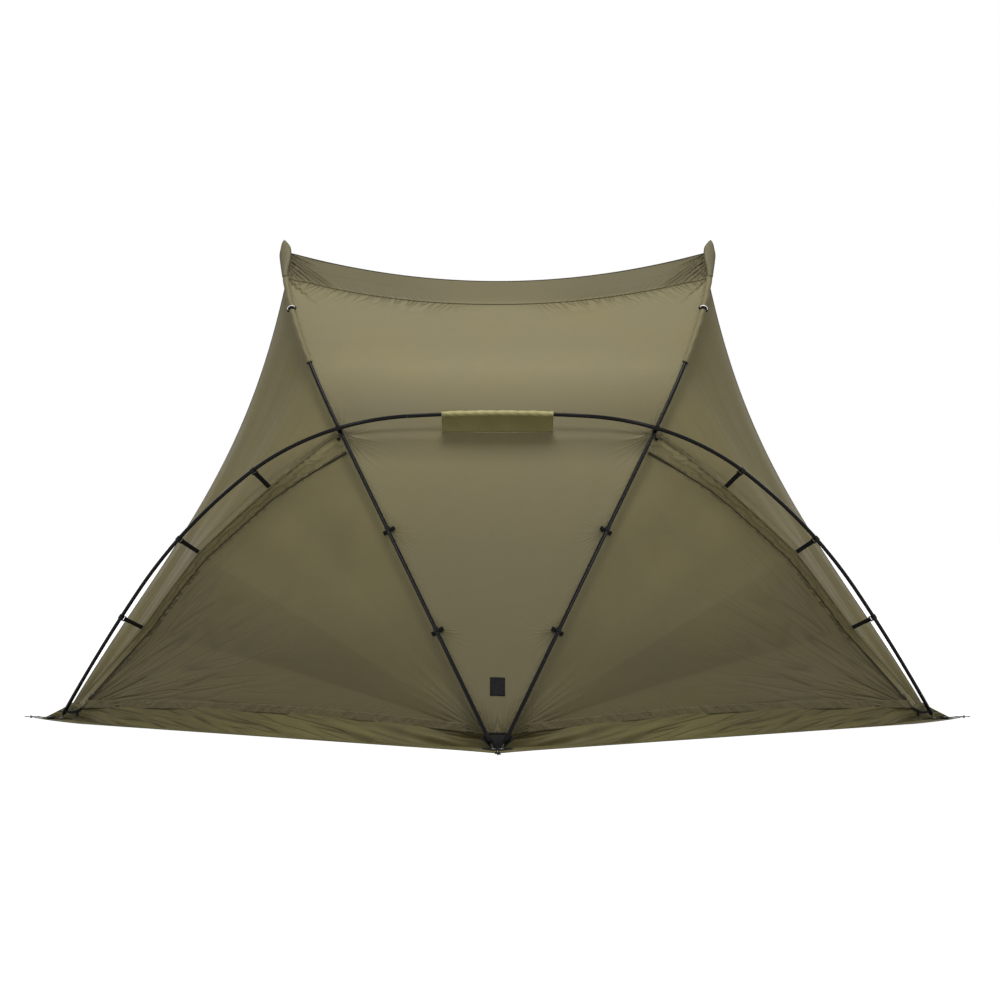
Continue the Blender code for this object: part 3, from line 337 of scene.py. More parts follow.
    def between(self, across: Points, s: Points, sag: Points) -> Points:
        """Return points between the V seams; across runs from -1 (left) to 1 (right)."""
        left = self.v_seam(s)
        hump = 1.0 - across ** 2
        point = np.stack((-left[..., 0] * across, left[..., 1], left[..., 2] - sag * hump), -1)
        return point + self.arch_lift(s) * column(hump)


def tag_material(obj: bpy.types.Object, material: bpy.types.Material) -> None:
    """Give an object one material."""
    obj.data.materials.clear()
    obj.data.materials.append(material)


def link(name: str, data: bpy.types.ID) -> bpy.types.Object:
    """Return a new object in the scene's collection."""
    obj = bpy.data.objects.new(name, data)
    bpy.context.scene.collection.objects.link(obj)
    return obj


def finished(name: str, bm: bmesh.types.BMesh, smooth: float = SMOOTH_HARD) -> bpy.types.Object:
    """Turn a bmesh into a smooth object with its sharp edges kept.

    Args:
        name: The object's name.
        bm: The bmesh, freed here.
        smooth: Degrees past which an edge stays sharp.

    Returns:
        The object.
    """
    mesh = bpy.data.meshes.new(name)
    bm.to_mesh(mesh)
    bm.free()
    mesh.shade_smooth()
    mesh.set_sharp_from_angle(angle=math.radians(smooth))
    return link(name, mesh)


def settled(name: str, bm: bmesh.types.BMesh, place: Matrix, side: Side,
            smooth: float = SMOOTH_HARD) -> bpy.types.Object:
    """Put a bmesh in its place, mirror it for the right side and finish it."""
    bmesh.ops.transform(bm, matrix=place, verts=bm.verts)
    bmesh.ops.scale(bm, vec=(side.sign, 1.0, 1.0), verts=bm.verts)
    bmesh.ops.recalc_face_normals(bm, faces=bm.faces)
    return finished(name, bm, smooth)


def spun(outline: Sequence[tuple[float, float]], steps: int,
         closed: bool = True) -> bmesh.types.BMesh:
    """Return an outline of radii and heights spun round Z."""
    bm = bmesh.new()
    verts = [bm.verts.new((radius, 0.0, height)) for radius, height in outline]
    ring = verts + verts[:1] if closed else verts
    edges = [bm.edges.new(pair) for pair in zip(ring, ring[1:])]
    bmesh.ops.spin(bm, geom=verts + edges, cent=(0, 0, 0), axis=(0, 0, 1), angle=math.tau,
                   steps=steps, use_merge=True)
    bmesh.ops.remove_doubles(bm, verts=bm.verts, dist=MERGE)
    bmesh.ops.recalc_face_normals(bm, faces=bm.faces)
    return bm


def ease(bm: bmesh.types.BMesh, edges: list[bmesh.types.BMEdge], width: float,
         segments: int) -> None:
    """Round some edges off."""
    bmesh.ops.bevel(bm, geom=edges, offset=width, affect="EDGES", segments=segments, profile=0.5,
                    material=-1, clamp_overlap=True)


class Lattice:
    """A grid laid on a surface: the shares a and b, and the lengths u and v that run along them."""

    def __init__(self, surface: Callable[[Points, Points], Points], rows: Points,
                 columns: Points) -> None:
        """Lay the grid out.

        Args:
            surface: Takes the two shares of each vertex and returns points of the left half.
            rows: Shares along the first direction.
            columns: Shares along the second direction.
        """
        self.surface = surface
        self.a, self.b = np.meshgrid(rows, columns, indexing="ij")
        self.points = surface(self.a, self.b)
        self.u, self.v = self.run(0), self.run(1)

    def run(self, axis: int) -> Points:
        """Return the length run along one direction."""
        steps = np.diff(self.points, axis=axis, prepend=self.points.take([0], axis=axis))
        return np.cumsum(np.linalg.norm(steps, axis=2), axis=axis)

    def cloth(self, side: Side, second: Points, facts: dict[str, Points]) -> bmesh.types.BMesh:
        """Build the grid, with a UV map in metres along its own threads.

        Args:
            side: The half it belongs to; the right one is mirrored.
            second: The threads' second coordinate at each vertex.
            facts: Values to keep on the vertices, by name.

        Returns:
            The bmesh.
        """
        bm = bmesh.new()
        last = (len(self.a) - 1, len(self.a[0]) - 1)
        bmesh.ops.create_grid(bm, x_segments=last[0], y_segments=last[1], size=0.5)
        flat = np.array([vert.co[:2] for vert in bm.verts]) + 0.5
        places = self.points * side.flip
        threads = np.stack((self.u - self.u[len(self.u) // 2], second), -1)
        kinds = bm.verts.layers
        stores = {name: (kinds.float if values.ndim == 2 else kinds.float_vector).new(name)
                  for name, values in facts.items()}
        layer = bm.loops.layers.uv.new("threads")
        for vert, (i, j) in zip(bm.verts, np.rint(flat * last).astype(int)):
            vert.co = places[i, j]
            for name, store in stores.items():
                vert[store] = facts[name][i, j]
            for loop in vert.link_loops:
                loop[layer].uv = threads[i, j]
        if side is Side.RIGHT:
            bmesh.ops.reverse_faces(bm, faces=bm.faces)
        return bm


def grid_sheet(name: str, surface: Callable[[Points, Points], Points], rows: Points | int,
               columns: Points | int, side: Side = Side.LEFT,
               round_it: bool = False) -> bpy.types.Object:
    """Build a sheet on a surface.

    Args:
        name: The object's name.
        surface: Takes the two shares of each vertex and returns points of the left half.
        rows: Shares along the first direction, or how many even ones.
        columns: The same for the second direction.
        side: The half it belongs to.
        round_it: True if the first direction closes on itself.

    Returns:
        The object.
    """
    shares = [np.linspace(0.0, 1.0, k) if isinstance(k, int) else k for k in (rows, columns)]
    grid = Lattice(surface, *shares)
    middle = np.broadcast_to(grid.v[len(grid.v) // 2], grid.v.shape)
    bm = grid.cloth(side, middle, {})
    if round_it:
        bmesh.ops.remove_doubles(bm, verts=bm.verts, dist=MERGE)
    return finished(name, bm, SMOOTH_CLOTH)


def sweep(name: str, points: Points, normals: Points | Sequence[float],
          profile: Sequence[tuple[float, float]], side: Side = Side.LEFT) -> bpy.types.Object:
    """Carry a profile along a line to make a strap, tape or binding with closed ends.

    Args:
        name: The object's name.
        points: The line.
        normals: The outward direction at each point, or one for them all.
        profile: Pairs of (across, outward), in order round the section.
        side: The half that the line is carried to.

    Returns:
        The object, with a UV map in metres: along the line, then round the profile.
    """
    points = np.asarray(points, dtype=float) * side.flip
    normals = np.broadcast_to(normals, points.shape) * side.flip
    along = unit(np.gradient(points, axis=0))
    out = unit(normals - along * column(np.sum(normals * along, axis=-1)))
    across = np.cross(along, out)
    run = np.concatenate(([0.0], np.cumsum(np.linalg.norm(np.diff(points, axis=0), axis=1))))
    bm = bmesh.new()
    layer = bm.loops.layers.uv.new("threads")
    ring = [bm.verts.new(points[0] + across[0] * x + out[0] * z) for x, z in profile]
    edges = [bm.edges.new(pair) for pair in zip(ring, ring[1:] + ring[:1])]
    bm.faces.new(ring)
    for k in range(1, len(points)):
        grown = bmesh.ops.extrude_edge_only(bm, edges=edges)["geom"]
        fresh = {item for item in grown if isinstance(item, bmesh.types.BMVert)}
        edges = [item for item in grown if isinstance(item, bmesh.types.BMEdge)
                 and fresh.issuperset(item.verts)]
        ring = [next(e.other_vert(v) for e in v.link_edges if e.other_vert(v) in fresh)
                for v in ring]
        for vert, (x, z) in zip(ring, profile):
            vert.co = points[k] + across[k] * x + out[k] * z
    bm.faces.new(ring)
    bmesh.ops.recalc_face_normals(bm, faces=bm.faces)
    for vert in bm.verts:
        k = int(np.argmin(((points - vert.co) ** 2).sum(-1)))
        uv = (run[k], float((vert.co - Vector(points[k])) @ Vector(across[k])))
        for loop in vert.link_loops:
            loop[layer].uv = uv
    return finished(name, bm, SMOOTH_TAPE)


def flat_profile(width: float, thickness: float, lift: float = 0.0) -> list[tuple[float, float]]:
    """Return a tape's section with eased edges, lying on the surface or lifted off it."""
    half, ease = width / 2, thickness * 0.35
    low, high = lift, lift + thickness
    return [(-half, low + ease), (-half + ease, low), (half - ease, low), (half, low + ease),
            (half, high - ease), (half - ease, high), (-half + ease, high), (-half, high - ease)]


def round_profile(half_width: float, half_height: float, count: int) -> list[
        tuple[float, float]]:
    """Return an elliptical section."""
    turns = [math.tau * k / count for k in range(count)]
    return [(half_width * math.cos(t), half_height * math.sin(t)) for t in turns]


class Signal:
    """A shader output that arithmetic turns into Math nodes."""

    def __init__(self, w: "Wiring", socket: bpy.types.NodeSocket) -> None:
        """Keep the socket and the wiring it belongs to."""
        self.w, self.socket = w, socket

    def __add__(self, other: object) -> "Signal":
        """Return the sum."""
        return self.w.math("ADD", self, other)

    def __sub__(self, other: object) -> "Signal":
        """Return the difference."""
        return self.w.math("SUBTRACT", self, other)

    def __rsub__(self, other: object) -> "Signal":
        """Return the difference from another value."""
        return self.w.math("SUBTRACT", other, self)

    def __mul__(self, other: object) -> "Signal":
        """Return the product."""
        return self.w.math("MULTIPLY", self, other)

    def __truediv__(self, other: object) -> "Signal":
        """Return the quotient."""
        return self.w.math("DIVIDE", self, other)

    def __abs__(self) -> "Signal":
        """Return the value without its sign."""
        return self.w.math("ABSOLUTE", self)


class Made:
    """A node whose outputs are read by name or number."""

    def __init__(self, w: "Wiring", node: bpy.types.Node) -> None:
        """Keep the node and the wiring it belongs to."""
        self.w, self.node = w, node

    def __getitem__(self, key: str | int) -> Signal:
        """Return one output."""
        return Signal(self.w, self.node.outputs[key])

    def parts(self) -> list[Signal]:
        """Return the first output's three numbers."""
        split = self.w.add("SeparateXYZ", {0: self[0]})
        return [split[k] for k in range(3)]


class Wiring:
    """Adds nodes to a tree and joins them, one call for each node."""

    def __init__(self, tree: bpy.types.NodeTree) -> None:
        """Keep the tree."""
        self.tree = tree

    def add(self, kind: str, inputs: dict[str | int, object] | None = None,
            **settings: object) -> Made:
        """Add a node.

        Args:
            kind: The node's type, without its ShaderNode prefix.
            inputs: Values or signals for its inputs.
            settings: Its own properties.

        Returns:
            The node.
        """
        prefix = "" if kind.startswith("NodeGroup") else "ShaderNode"
        made = self.tree.nodes.new(prefix + kind)
        for key, value in settings.items():
            setattr(made, key, value)
        for key, value in (inputs or {}).items():
            self.feed(made.inputs[key], value)
        return Made(self, made)

    def feed(self, socket: bpy.types.NodeSocket, value: object) -> None:
        """Join a signal to a socket, or set the socket's value."""
        if isinstance(value, Signal):
            self.tree.links.new(value.socket, socket)
        else:
            socket.default_value = value

    def math(self, operation: str, first: object, second: object = 0.0) -> Signal:
        """Return the result of one Math node."""
        return self.add("Math", {0: first, 1: second}, operation=operation)[0]

    def band(self, value: object, low: float, high: float, start: float = 0.0,
             end: float = 1.0) -> Signal:
        """Return a value's place between two others, as a soft step."""
        inputs = {"Value": value, "From Min": low, "From Max": high, "To Min": start, "To Max": end}
        return self.add("MapRange", inputs, interpolation_type="SMOOTHSTEP")[0]

    def noise(self, vector: object, scale: float, detail: float, roughness: float) -> Signal:
        """Return noise from 0 to 1."""
        inputs = {"Vector": vector, "Scale": scale, "Detail": detail, "Roughness": roughness}
        return self.add("TexNoise", inputs)["Fac"]

    def mix(self, factor: object, first: object, second: object) -> Signal:
        """Return two colours mixed."""
        return self.add("Mix", {0: factor, 6: first, 7: second}, data_type="RGBA")[2]

    def crests(self, noise: Signal, sharpness: float) -> Signal:
        """Return narrow crests where a noise passes its middle, from 0 to 1."""
        falling = abs(noise - 0.5) * (2.0 * sharpness)
        return self.math("POWER", 1.0 - self.math("MINIMUM", falling, 1.0), 1.3)


class Group(Wiring):
    """A shader node group that finishes share."""

    def __init__(self, name: str, **inputs: float | None) -> None:
        """Start the group; an input that has no default is a vector."""
        super().__init__(bpy.data.node_groups.new(name, "ShaderNodeTree"))
        for label, default in inputs.items():
            kind = "NodeSocketVector" if default is None else "NodeSocketFloat"
            socket = self.tree.interface.new_socket(label, in_out="INPUT", socket_type=kind)
            if default is not None:
                socket.default_value = default
        self.source = self.add("NodeGroupInput")

    def give(self, outputs: dict[str, Signal]) -> bpy.types.NodeTree:
        """Name the outputs and return the finished group."""
        for label in outputs:
            self.tree.interface.new_socket(label, in_out="OUTPUT", socket_type="NodeSocketFloat")
        self.add("NodeGroupOutput", outputs)
        return self.tree


class Effects:
    """The node groups that several finishes share, each built once."""

    def __init__(self) -> None:
        """Build every group."""
        self.ripstop, self.webbing = self._ripstop(), self._webbing()
        self.seam, self.folds = self._seam(), self._folds()
        self.crease, self.wear = self._crease(), self._wear()

    @staticmethod
    def _ripstop() -> bpy.types.NodeTree:
        """Return the cloth's threads and the square grid of thicker ones.

        Takes the thread coordinates in metres, and gives a height, a mask of the grid and a fine
        mottle of the yarn.
        """
        w = Group("ripstop_threads", Threads=None, Grid=0.006, Pitch=0.0009)
        waves, lines = [], []
        for place in w.source.parts()[:2]:
            waves.append(w.math("SINE", place / w.source["Pitch"] * math.tau))
            cell = w.math("FRACT", place / w.source["Grid"])
            lines.append(w.band(abs(cell - 0.5), 0.40, 0.47))
        grid = w.math("MAXIMUM", *lines)
        stretch = w.add("Mapping", {"Vector": w.source["Threads"], "Scale": (1.0, 0.2, 1.0)})
        return w.give({"Height": grid * 0.8 + waves[0] * waves[1] * 0.2, "Grid Mask": grid,
                       "Mottle": w.noise(stretch[0], 900.0, 2.0, 0.7)})

    @staticmethod
    def _webbing() -> bpy.types.NodeTree:
        """Return the chevron ribs of woven tape, from its thread coordinates."""
        w = Group("webbing_ribs", Threads=None, Rib=0.0024)
        along, across, _ = w.source.parts()
        slant = along + w.math("PINGPONG", across, w.source["Rib"])
        height = w.math("SINE", slant / w.source["Rib"] * math.tau) * 0.5 + 0.5
        return w.give({"Height": height, "Mask": w.band(height, 0.3, 0.8)})

    @staticmethod
    def _seam() -> bpy.types.NodeTree:
        """Return what a seam does to the cloth beside it.

        Takes the run along the seam, the distance from it and the strength of its puckers, and
        gives their height, once more as a mask for painted shade in the puckers, the line of
        stitches and the doubled band of cloth.
        """
        w = Group("seam_puckers", Seam=None, Reach=0.034)
        run, distance, strength = w.source.parts()
        place = w.add("CombineXYZ", {0: (distance * 1.1 + run) * 36.0, 1: distance * 14.0})
        folds = w.crests(w.noise(place[0], 1.0, 1.0, 0.5), 5.0)
        fade = w.math("EXPONENT", distance / w.source["Reach"] * -1.0)
        height = folds * fade * strength
        dash = w.band(w.math("PINGPONG", run, 0.0021), 0.0005, 0.0008)
        line = w.band(abs(distance - 0.0075), 0.0006, 0.0011, 1.0, 0.0)
        return w.give({"Height": height * -1.0, "Fold": height, "Stitch": dash * line,
                       "Band": w.band(distance, 0.0095, 0.0110, 1.0, 0.0)})

    @staticmethod
    def _folds() -> bpy.types.NodeTree:
        """Return folds drawn out from a point that pulls the cloth.

        Takes the angle round the point, counted in folds, the distance from it in metres, and
        the folds' depth in metres, and gives their height, their sharp valleys and the broad
        swell between them. The valleys and the swell are masks for painted shade.
        """
        w = Group("drawn_folds", Pull=None)
        angle, away, depth = w.source.parts()
        layers = []
        for turn, along, layer in ((1.0, 1.6, 0.0), (2.3, 2.6, 5.0), (0.7, 3.4, 11.0)):
            place = w.add("CombineXYZ", {0: angle * turn, 1: away * along, 2: layer})
            layers.append(w.noise(place[0], 1.0, 0.0, 0.5))
        broad = w.crests(layers[0], 5.5) * w.band(layers[2], 0.40, 0.56)
        line = w.math("MAXIMUM", broad, w.crests(layers[1], 6.5) * 0.55)
        swell = w.band(layers[0], 0.25, 0.75)
        shown = w.band(depth, 0.0, 0.0028)
        return w.give({"Height": (swell * 1.6 - line) * depth, "Line": line * shown,
                       "Swell": swell * shown})

    @staticmethod
    def _crease() -> bpy.types.NodeTree:
        """Return one pressed line in the cloth, with the shoulder that stands beside it.

        Takes a place, the line's start, its direction over its length, and the direction across
        it over its width. Gives its height, and the line as a mask for painted shade.
        """
        w = Group("single_crease", Place=None, Start=None, Along=None, Across=None)
        from_start = w.add("VectorMath", {0: w.source["Place"], 1: w.source["Start"]},
                           operation="SUBTRACT")[0]
        along, across = (w.add("VectorMath", {0: from_start, 1: w.source[label]},
                               operation="DOT_PRODUCT")["Value"] for label in ("Along", "Across"))
        fade = w.band(along, 0.0, 0.15) * w.band(along, 0.75, 1.0, 1.0, 0.0)
        line, shoulder = (w.math("EXPONENT", w.math("POWER", across - at, 2.0) * -1.0)
                          for at in (0.0, 1.8))
        return w.give({"Height": (shoulder * 0.8 - line) * fade, "Line": line * fade})

    @staticmethod
    def _wear() -> bpy.types.NodeTree:
        """Return soft blotches and fine grain, from Object coordinates in metres."""
        w = Group("wear_and_dust", Place=None, Size=0.25)
        scaled = w.add("VectorMath", {0: w.source["Place"],
                                      "Scale": w.math("DIVIDE", 1.0, w.source["Size"])},
                       operation="SCALE")[0]
        return w.give({"Blotch": w.noise(scaled, 1.0, 4.0, 0.55),
                       "Grain": w.noise(scaled, 60.0, 2.0, 0.6),
                       "Scuff": w.band(w.noise(scaled, 9.0, 5.0, 0.7), 0.56, 0.72)})


def tint(colour: Sequence[float], factor: float = 1.0, lift: float = 0.0) -> tuple[float, ...]:
    """Return a colour made darker or lighter, with its alpha."""
    return (*(min(1.0, c * factor + lift) for c in colour), 1.0)


class Look(Wiring):
    """One material's wiring, from its coordinates to its shader."""

    def __init__(self, name: str) -> None:
        """Start the material."""
        self.material = bpy.data.materials.new(name)
        self.material.use_nodes = True
        super().__init__(self.material.node_tree)
        self.place = self.add("TexCoord")["Object"]

    def effect(self, group: bpy.types.NodeTree, **inputs: object) -> Made:
        """Add a shared effect."""
        return self.add("Group", inputs, node_tree=group)

    def finish(self, base: Signal, height: Signal | None = None,
               **settings: object) -> bpy.types.Material:
        """Feed the shader.

        Args:
            base: The colour.
            height: The relief in metres.
            settings: Its other inputs, with _ for a space.

        Returns:
            The material.
        """
        shader = self.tree.nodes["Principled BSDF"]
        self.feed(shader.inputs["Base Color"], base)
        if height:
            bump = self.add("Bump", {"Strength": 1.0, "Distance": 1.0, "Height": height})
            self.feed(shader.inputs["Normal"], bump[0])
        for label, value in settings.items():
            self.feed(shader.inputs[label.replace("_", " ")], value)
        return self.material


@dataclass(frozen=True)
class RipstopFinish:
    """Coated ripstop cloth."""

    name: str
    colour: tuple[float, float, float]
    shade: float = 0.80
    roughness: float = 0.60
    sheen: float = 0.03
    puckers: float = 0.0042
    specular: float = 0.42
    seams: bool = False
    gathers: tuple[float, float, float, float, float] | None = None
    crease_width: float = 0.0052
    # Pressed creases at the visor corners, each drawn with painted shade along it.
    creases: tuple[tuple[float, float, float, float, float], ...] = (
        (-0.030, -0.028, 0.240, 0.164, 0.0066), (-0.026, -0.006, 0.206, 0.164, 0.0060),
        (-0.010, 0.024, 0.160, 0.160, 0.0060), (0.000, 0.050, 0.106, 0.146, 0.0046),
        (0.004, 0.074, 0.068, 0.136, 0.0036), (0.002, 0.092, 0.044, 0.136, 0.0030))

    def make(self, effects: Effects) -> bpy.types.Material:
        """Return the material."""
        w = Look(self.name)
        threads = w.add("UVMap", uv_map="threads")
        weave = w.effect(effects.ripstop, Threads=threads[0])
        wear = w.effect(effects.wear, Place=w.place)
        dark = tint(self.colour, self.shade)
        base = w.mix(w.band(wear["Blotch"], 0.3, 0.7), dark, tint(self.colour))
        base = w.mix(weave["Grid Mask"] * 0.35, base, tint(self.colour, 1.14))
        base = w.mix(w.band(weave["Mottle"], 0.3, 0.75) * 0.18, base, dark)
        height = weave["Height"] * 0.00010 + w.noise(w.place, 14.0, 5.0, 0.62) * 0.0011
        if self.seams:
            base, height = self.sewn(effects, w, base, height)
        if self.gathers:
            base, height = self.gathered(effects, w, base, height, threads)
        rough = w.band(wear["Blotch"], 0.2, 0.8, self.roughness - 0.06, self.roughness + 0.08)
        return w.finish(base, height, Roughness=rough, Sheen_Weight=self.sheen,
                        Sheen_Roughness=0.45, Specular_IOR_Level=self.specular)

    def gathered(self, effects: Effects, w: Look, base: Signal, height: Signal,
                 threads: Made) -> tuple[Signal, Signal]:
        """Add even folds that run slantwise over the cloth, with painted shade between them.

        Args:
            effects: The shared node groups.
            w: The material's wiring.
            base: The colour so far.
            height: The height so far.
            threads: The thread coordinates in metres.

        Returns:
            The new colour and height.
        """
        x, y, _ = threads.parts()
        first, second, along, across, depth = self.gathers
        pull = w.add("CombineXYZ", {0: x * first + y * second, 1: x * along + y * across,
                                    2: depth})
        folds = w.effect(effects.folds, Pull=pull[0])
        # Painted shade: darker between the folds' swells and along their lines.
        base = w.mix(folds["Swell"] * -0.50 + 0.50, base, tint(self.colour, 0.55))
        base = w.mix(folds["Line"] * 0.55, base, tint(self.colour, 0.34))
        return base, height + folds["Height"]

    def sewn(self, effects: Effects, w: Look, base: Signal, height: Signal) -> tuple[
            Signal, Signal]:
        """Add seams, folds and creases, their painted shade, and each panel's painted light.

        Args:
            effects: The shared node groups.
            w: The material's wiring.
            base: The colour so far.
            height: The height so far.

        Returns:
            The new colour and height.
        """
        line, pull, corner, painted_light = (w.add("Attribute", attribute_name=name)
                                    for name in ("seam", "pull", "corner", "painted_light"))
        seam = w.effect(effects.seam, Seam=line["Vector"])
        folds = w.effect(effects.folds, Pull=pull["Vector"])
        # A darker colour for the stitches, and for the painted shade along the creases.
        deep = tint(self.colour, 0.42)
        # Painted light and shade: each panel's level, from the vertices, darkens the colour.
        base = w.mix(painted_light["Fac"], tint(self.colour, 0.30), base)
        # Painted shade in the fold valleys and along the seam puckers.
        base = w.mix(folds["Line"] * 0.72 + seam["Fold"] * 0.85, base, tint(self.colour, 0.30))
        base = w.mix(seam["Band"] * 0.14, base, tint(self.colour, self.shade))
        base = w.mix(seam["Stitch"] * 0.45, base, deep)
        height = height + seam["Height"] * self.puckers + seam["Band"] * 0.0003
        height = height + seam["Stitch"] * -0.0002 + folds["Height"]
        for x0, y0, x1, y1, depth in self.creases:
            length = math.hypot(x1 - x0, y1 - y0)
            x, y = (x1 - x0) / length, (y1 - y0) / length
            made = w.effect(effects.crease, Place=corner["Vector"], Start=(x0, y0, 0.0),
                            Along=(x / length, y / length, 0.0),
                            Across=(-y / self.crease_width, x / self.crease_width, 0.0))
            height = made["Height"] * depth + height
            # Painted shade along each pressed crease.
            base = w.mix(made["Line"] * 0.80, base, deep)
        return base, height


@dataclass(frozen=True)
class WebbingFinish:
    """Woven tape, or the gathered binding cloth where its ribs are fine."""

    name: str
    colour: tuple[float, float, float]
    rib: float = 0.0024
    relief: float = 0.00035
    roughness: float = 0.72
    sheen: float = 0.06
    specular: float = 0.25

    def make(self, effects: Effects) -> bpy.types.Material:
        """Return the material."""
        w = Look(self.name)
        threads = w.add("UVMap", uv_map="threads")[0]
        ribs = w.effect(effects.webbing, Threads=threads, Rib=self.rib)
        wear = w.effect(effects.wear, Place=w.place, Size=0.05)
        base = w.mix(ribs["Mask"], tint(self.colour, 0.55), tint(self.colour))
        base = w.mix(wear["Scuff"] * 0.5, base, tint(self.colour, 1.6, 0.004))
        height = ribs["Height"] * self.relief + wear["Grain"] * (self.relief * 0.4)
        return w.finish(base, height, Roughness=self.roughness, Sheen_Weight=self.sheen,
                        Sheen_Roughness=0.4, Specular_IOR_Level=self.specular)


@dataclass(frozen=True)
class HardFinish:
    """Moulded plastic, anodised tube or plated metal."""

    name: str
    colour: tuple[float, float, float]
    roughness: float
    metallic: float = 0.0
    grain: float = 0.00003
    size: float = 0.03
    scuffed: tuple[float, float, float] | None = None
    specular: float = 0.30

    def make(self, effects: Effects) -> bpy.types.Material:
        """Return the material."""
        w = Look(self.name)
        wear = w.effect(effects.wear, Place=w.place, Size=self.size)
        light = tint(self.scuffed) if self.scuffed else tint(self.colour, 1.8, 0.01)
        base = w.mix(wear["Scuff"] * 0.35, tint(self.colour), light)
        rough = w.band(wear["Blotch"], 0.25, 0.75, self.roughness * 0.75,
                       min(1.0, self.roughness * 1.35))
        return w.finish(base, wear["Grain"] * self.grain, Roughness=rough,
                        Metallic=self.metallic, Specular_IOR_Level=self.specular)


class Slot(Enum):
    """The record's finishes, which new pieces take theirs from."""

    CANOPY = "olive_ripstop"
    SKIRT = "skirt_cloth"
    POLE = "black_anodised"
    WEBBING = "black_webbing"
    PLASTIC = "black_acetal"
    STEEL = "bright_steel"


Finish = RipstopFinish | WebbingFinish | HardFinish


@dataclass(frozen=True)
class Dressing:
    """A material and the record's finish that its pieces belong to."""

    material: bpy.types.Material
    slot: Slot


class Finishes:
    """Every finish on the shelter, made once."""

    def __init__(self) -> None:
        """Make the materials."""
        self.effects = Effects()
        self.cloths()
        self.tapes()
        self.hard_pieces()

    def dressing(self, slot: Slot, finish: Finish) -> Dressing:
        """Make one finish for one of the record's."""
        return Dressing(finish.make(self.effects), slot)

    def cloths(self) -> None:
        """Make the coated cloths."""
        # The canopy's colour is the cloth at the lightest level of painted light; each panel's
        # painted light and shade darkens it from there.
        self.canopy = self.dressing(Slot.CANOPY, RipstopFinish(
            "canopy_ripstop", (0.413, 0.354, 0.166), seams=True))
        # The skirt's gathered folds carry painted shade.
        self.skirt = self.dressing(Slot.SKIRT, RipstopFinish(
            "skirt_ripstop", (0.215, 0.186, 0.066), 0.78, 0.62, 0.05,
            gathers=(3.0, 15.0, 1.0, 0.3, 0.0052)))
        # Painted light: the arch sleeve's cloth is given a far lighter colour than the same cloth
        # elsewhere, to lift its shaded face.
        self.sleeve = self.dressing(Slot.SKIRT, RipstopFinish(
            "sleeve_ripstop_painted_light", (0.600, 0.540, 0.240)))
        self.lining = self.dressing(Slot.CANOPY, RipstopFinish(
            "pocket_lining", (0.200, 0.178, 0.096), 0.86, 0.66))
        self.canopy_plain = self.dressing(Slot.CANOPY, RipstopFinish(
            "canopy_ripstop_plain", (0.250, 0.214, 0.104)))
        # The hem band's gathers carry painted shade.
        self.wall_plain = self.dressing(Slot.CANOPY, RipstopFinish(
            "wall_hem_ripstop", (0.250, 0.214, 0.100), gathers=(26.0, 22.0, 3.0, 9.0, 0.0014)))

    def tapes(self) -> None:
        """Make the woven tapes and the gathered cloth."""
        fine_rib, shallow = 0.0016, 0.0003
        self.binding = self.dressing(Slot.CANOPY, WebbingFinish(
            "olive_binding", (0.130, 0.110, 0.056), fine_rib, shallow))
        self.dark_binding = self.dressing(Slot.CANOPY, WebbingFinish(
            "dark_binding", (0.062, 0.053, 0.028), fine_rib, shallow))
        self.hem_grey = self.dressing(Slot.SKIRT, WebbingFinish(
            "grey_hem", (0.120, 0.116, 0.090), fine_rib, 0.0002))
        self.webbing = self.dressing(Slot.WEBBING, WebbingFinish(
            "black_webbing_weave", (0.007,) * 3, specular=0.12))
        self.gathers = self.dressing(Slot.WEBBING, WebbingFinish(
            "shiny_black_cloth", (0.006,) * 3, 0.0010, 0.0002, 0.42, 0.04, 0.16))

    def hard_pieces(self) -> None:
        """Make the plastics, the metals and what is like them."""
        self.elastic = self.dressing(Slot.WEBBING, HardFinish(
            "elastic_cord", (0.006,) * 3, 0.75, 0.0, 0.0004, 0.004, specular=0.08))
        self.tube = self.dressing(Slot.POLE, HardFinish(
            "anodised_tube", (0.004,) * 3, 0.12, 0.0, 0.00001, 0.08, specular=0.13))
        self.plastic = self.dressing(Slot.PLASTIC, HardFinish(
            "moulded_plastic", (0.006,) * 3, 0.24, specular=0.16))
        self.boot = self.dressing(Slot.PLASTIC, HardFinish(
            "rubber_boot", (0.005,) * 3, 0.62, specular=0.12))
        self.label = self.dressing(Slot.PLASTIC, HardFinish(
            "bare_patch", (0.007, 0.007, 0.008), 0.6, 0.0, 0.0002, 0.012, specular=0.15))
        metal = (1.0, 0.00002, 0.01)
        self.steel = self.dressing(Slot.STEEL, HardFinish(
            "plated_steel", (0.70, 0.70, 0.69), 0.24, *metal, (0.42, 0.41, 0.39)))
        self.dull_steel = self.dressing(Slot.STEEL, HardFinish(
            "dull_steel", (0.24, 0.24, 0.23), 0.32, *metal, (0.12, 0.12, 0.11)))
        self.pin = self.dressing(Slot.STEEL, HardFinish(
            "blackened_pin", (0.05,) * 3, 0.45, *metal, (0.04,) * 3))


def put(obj: bpy.types.Object, look: Dressing, nodes: Sequence[str] = (),
        body: str = ROOT) -> bpy.types.Object:
    """Dress a piece, make it ride on its body and let it stand for its nodes.

    Args:
        obj: The piece.
        look: Its material and slot.
        nodes: The construction nodes that it stands for.
        body: The body that carries it.

    Returns:
        The piece.
    """
    tag_material(obj, look.material)
    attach(obj, body)
    if nodes:
        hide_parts(*nodes)
    LOG.info("%s: %d faces", obj.name, len(getattr(obj.data, "polygons", ())))
    return obj


def thicken(cloth: bpy.types.Object, thickness: float) -> None:
    """Give a piece of cloth its thickness, half to each side."""
    solid = cloth.modifiers.new("cloth", "SOLIDIFY")
    solid.thickness = thickness
    solid.offset = 0.0


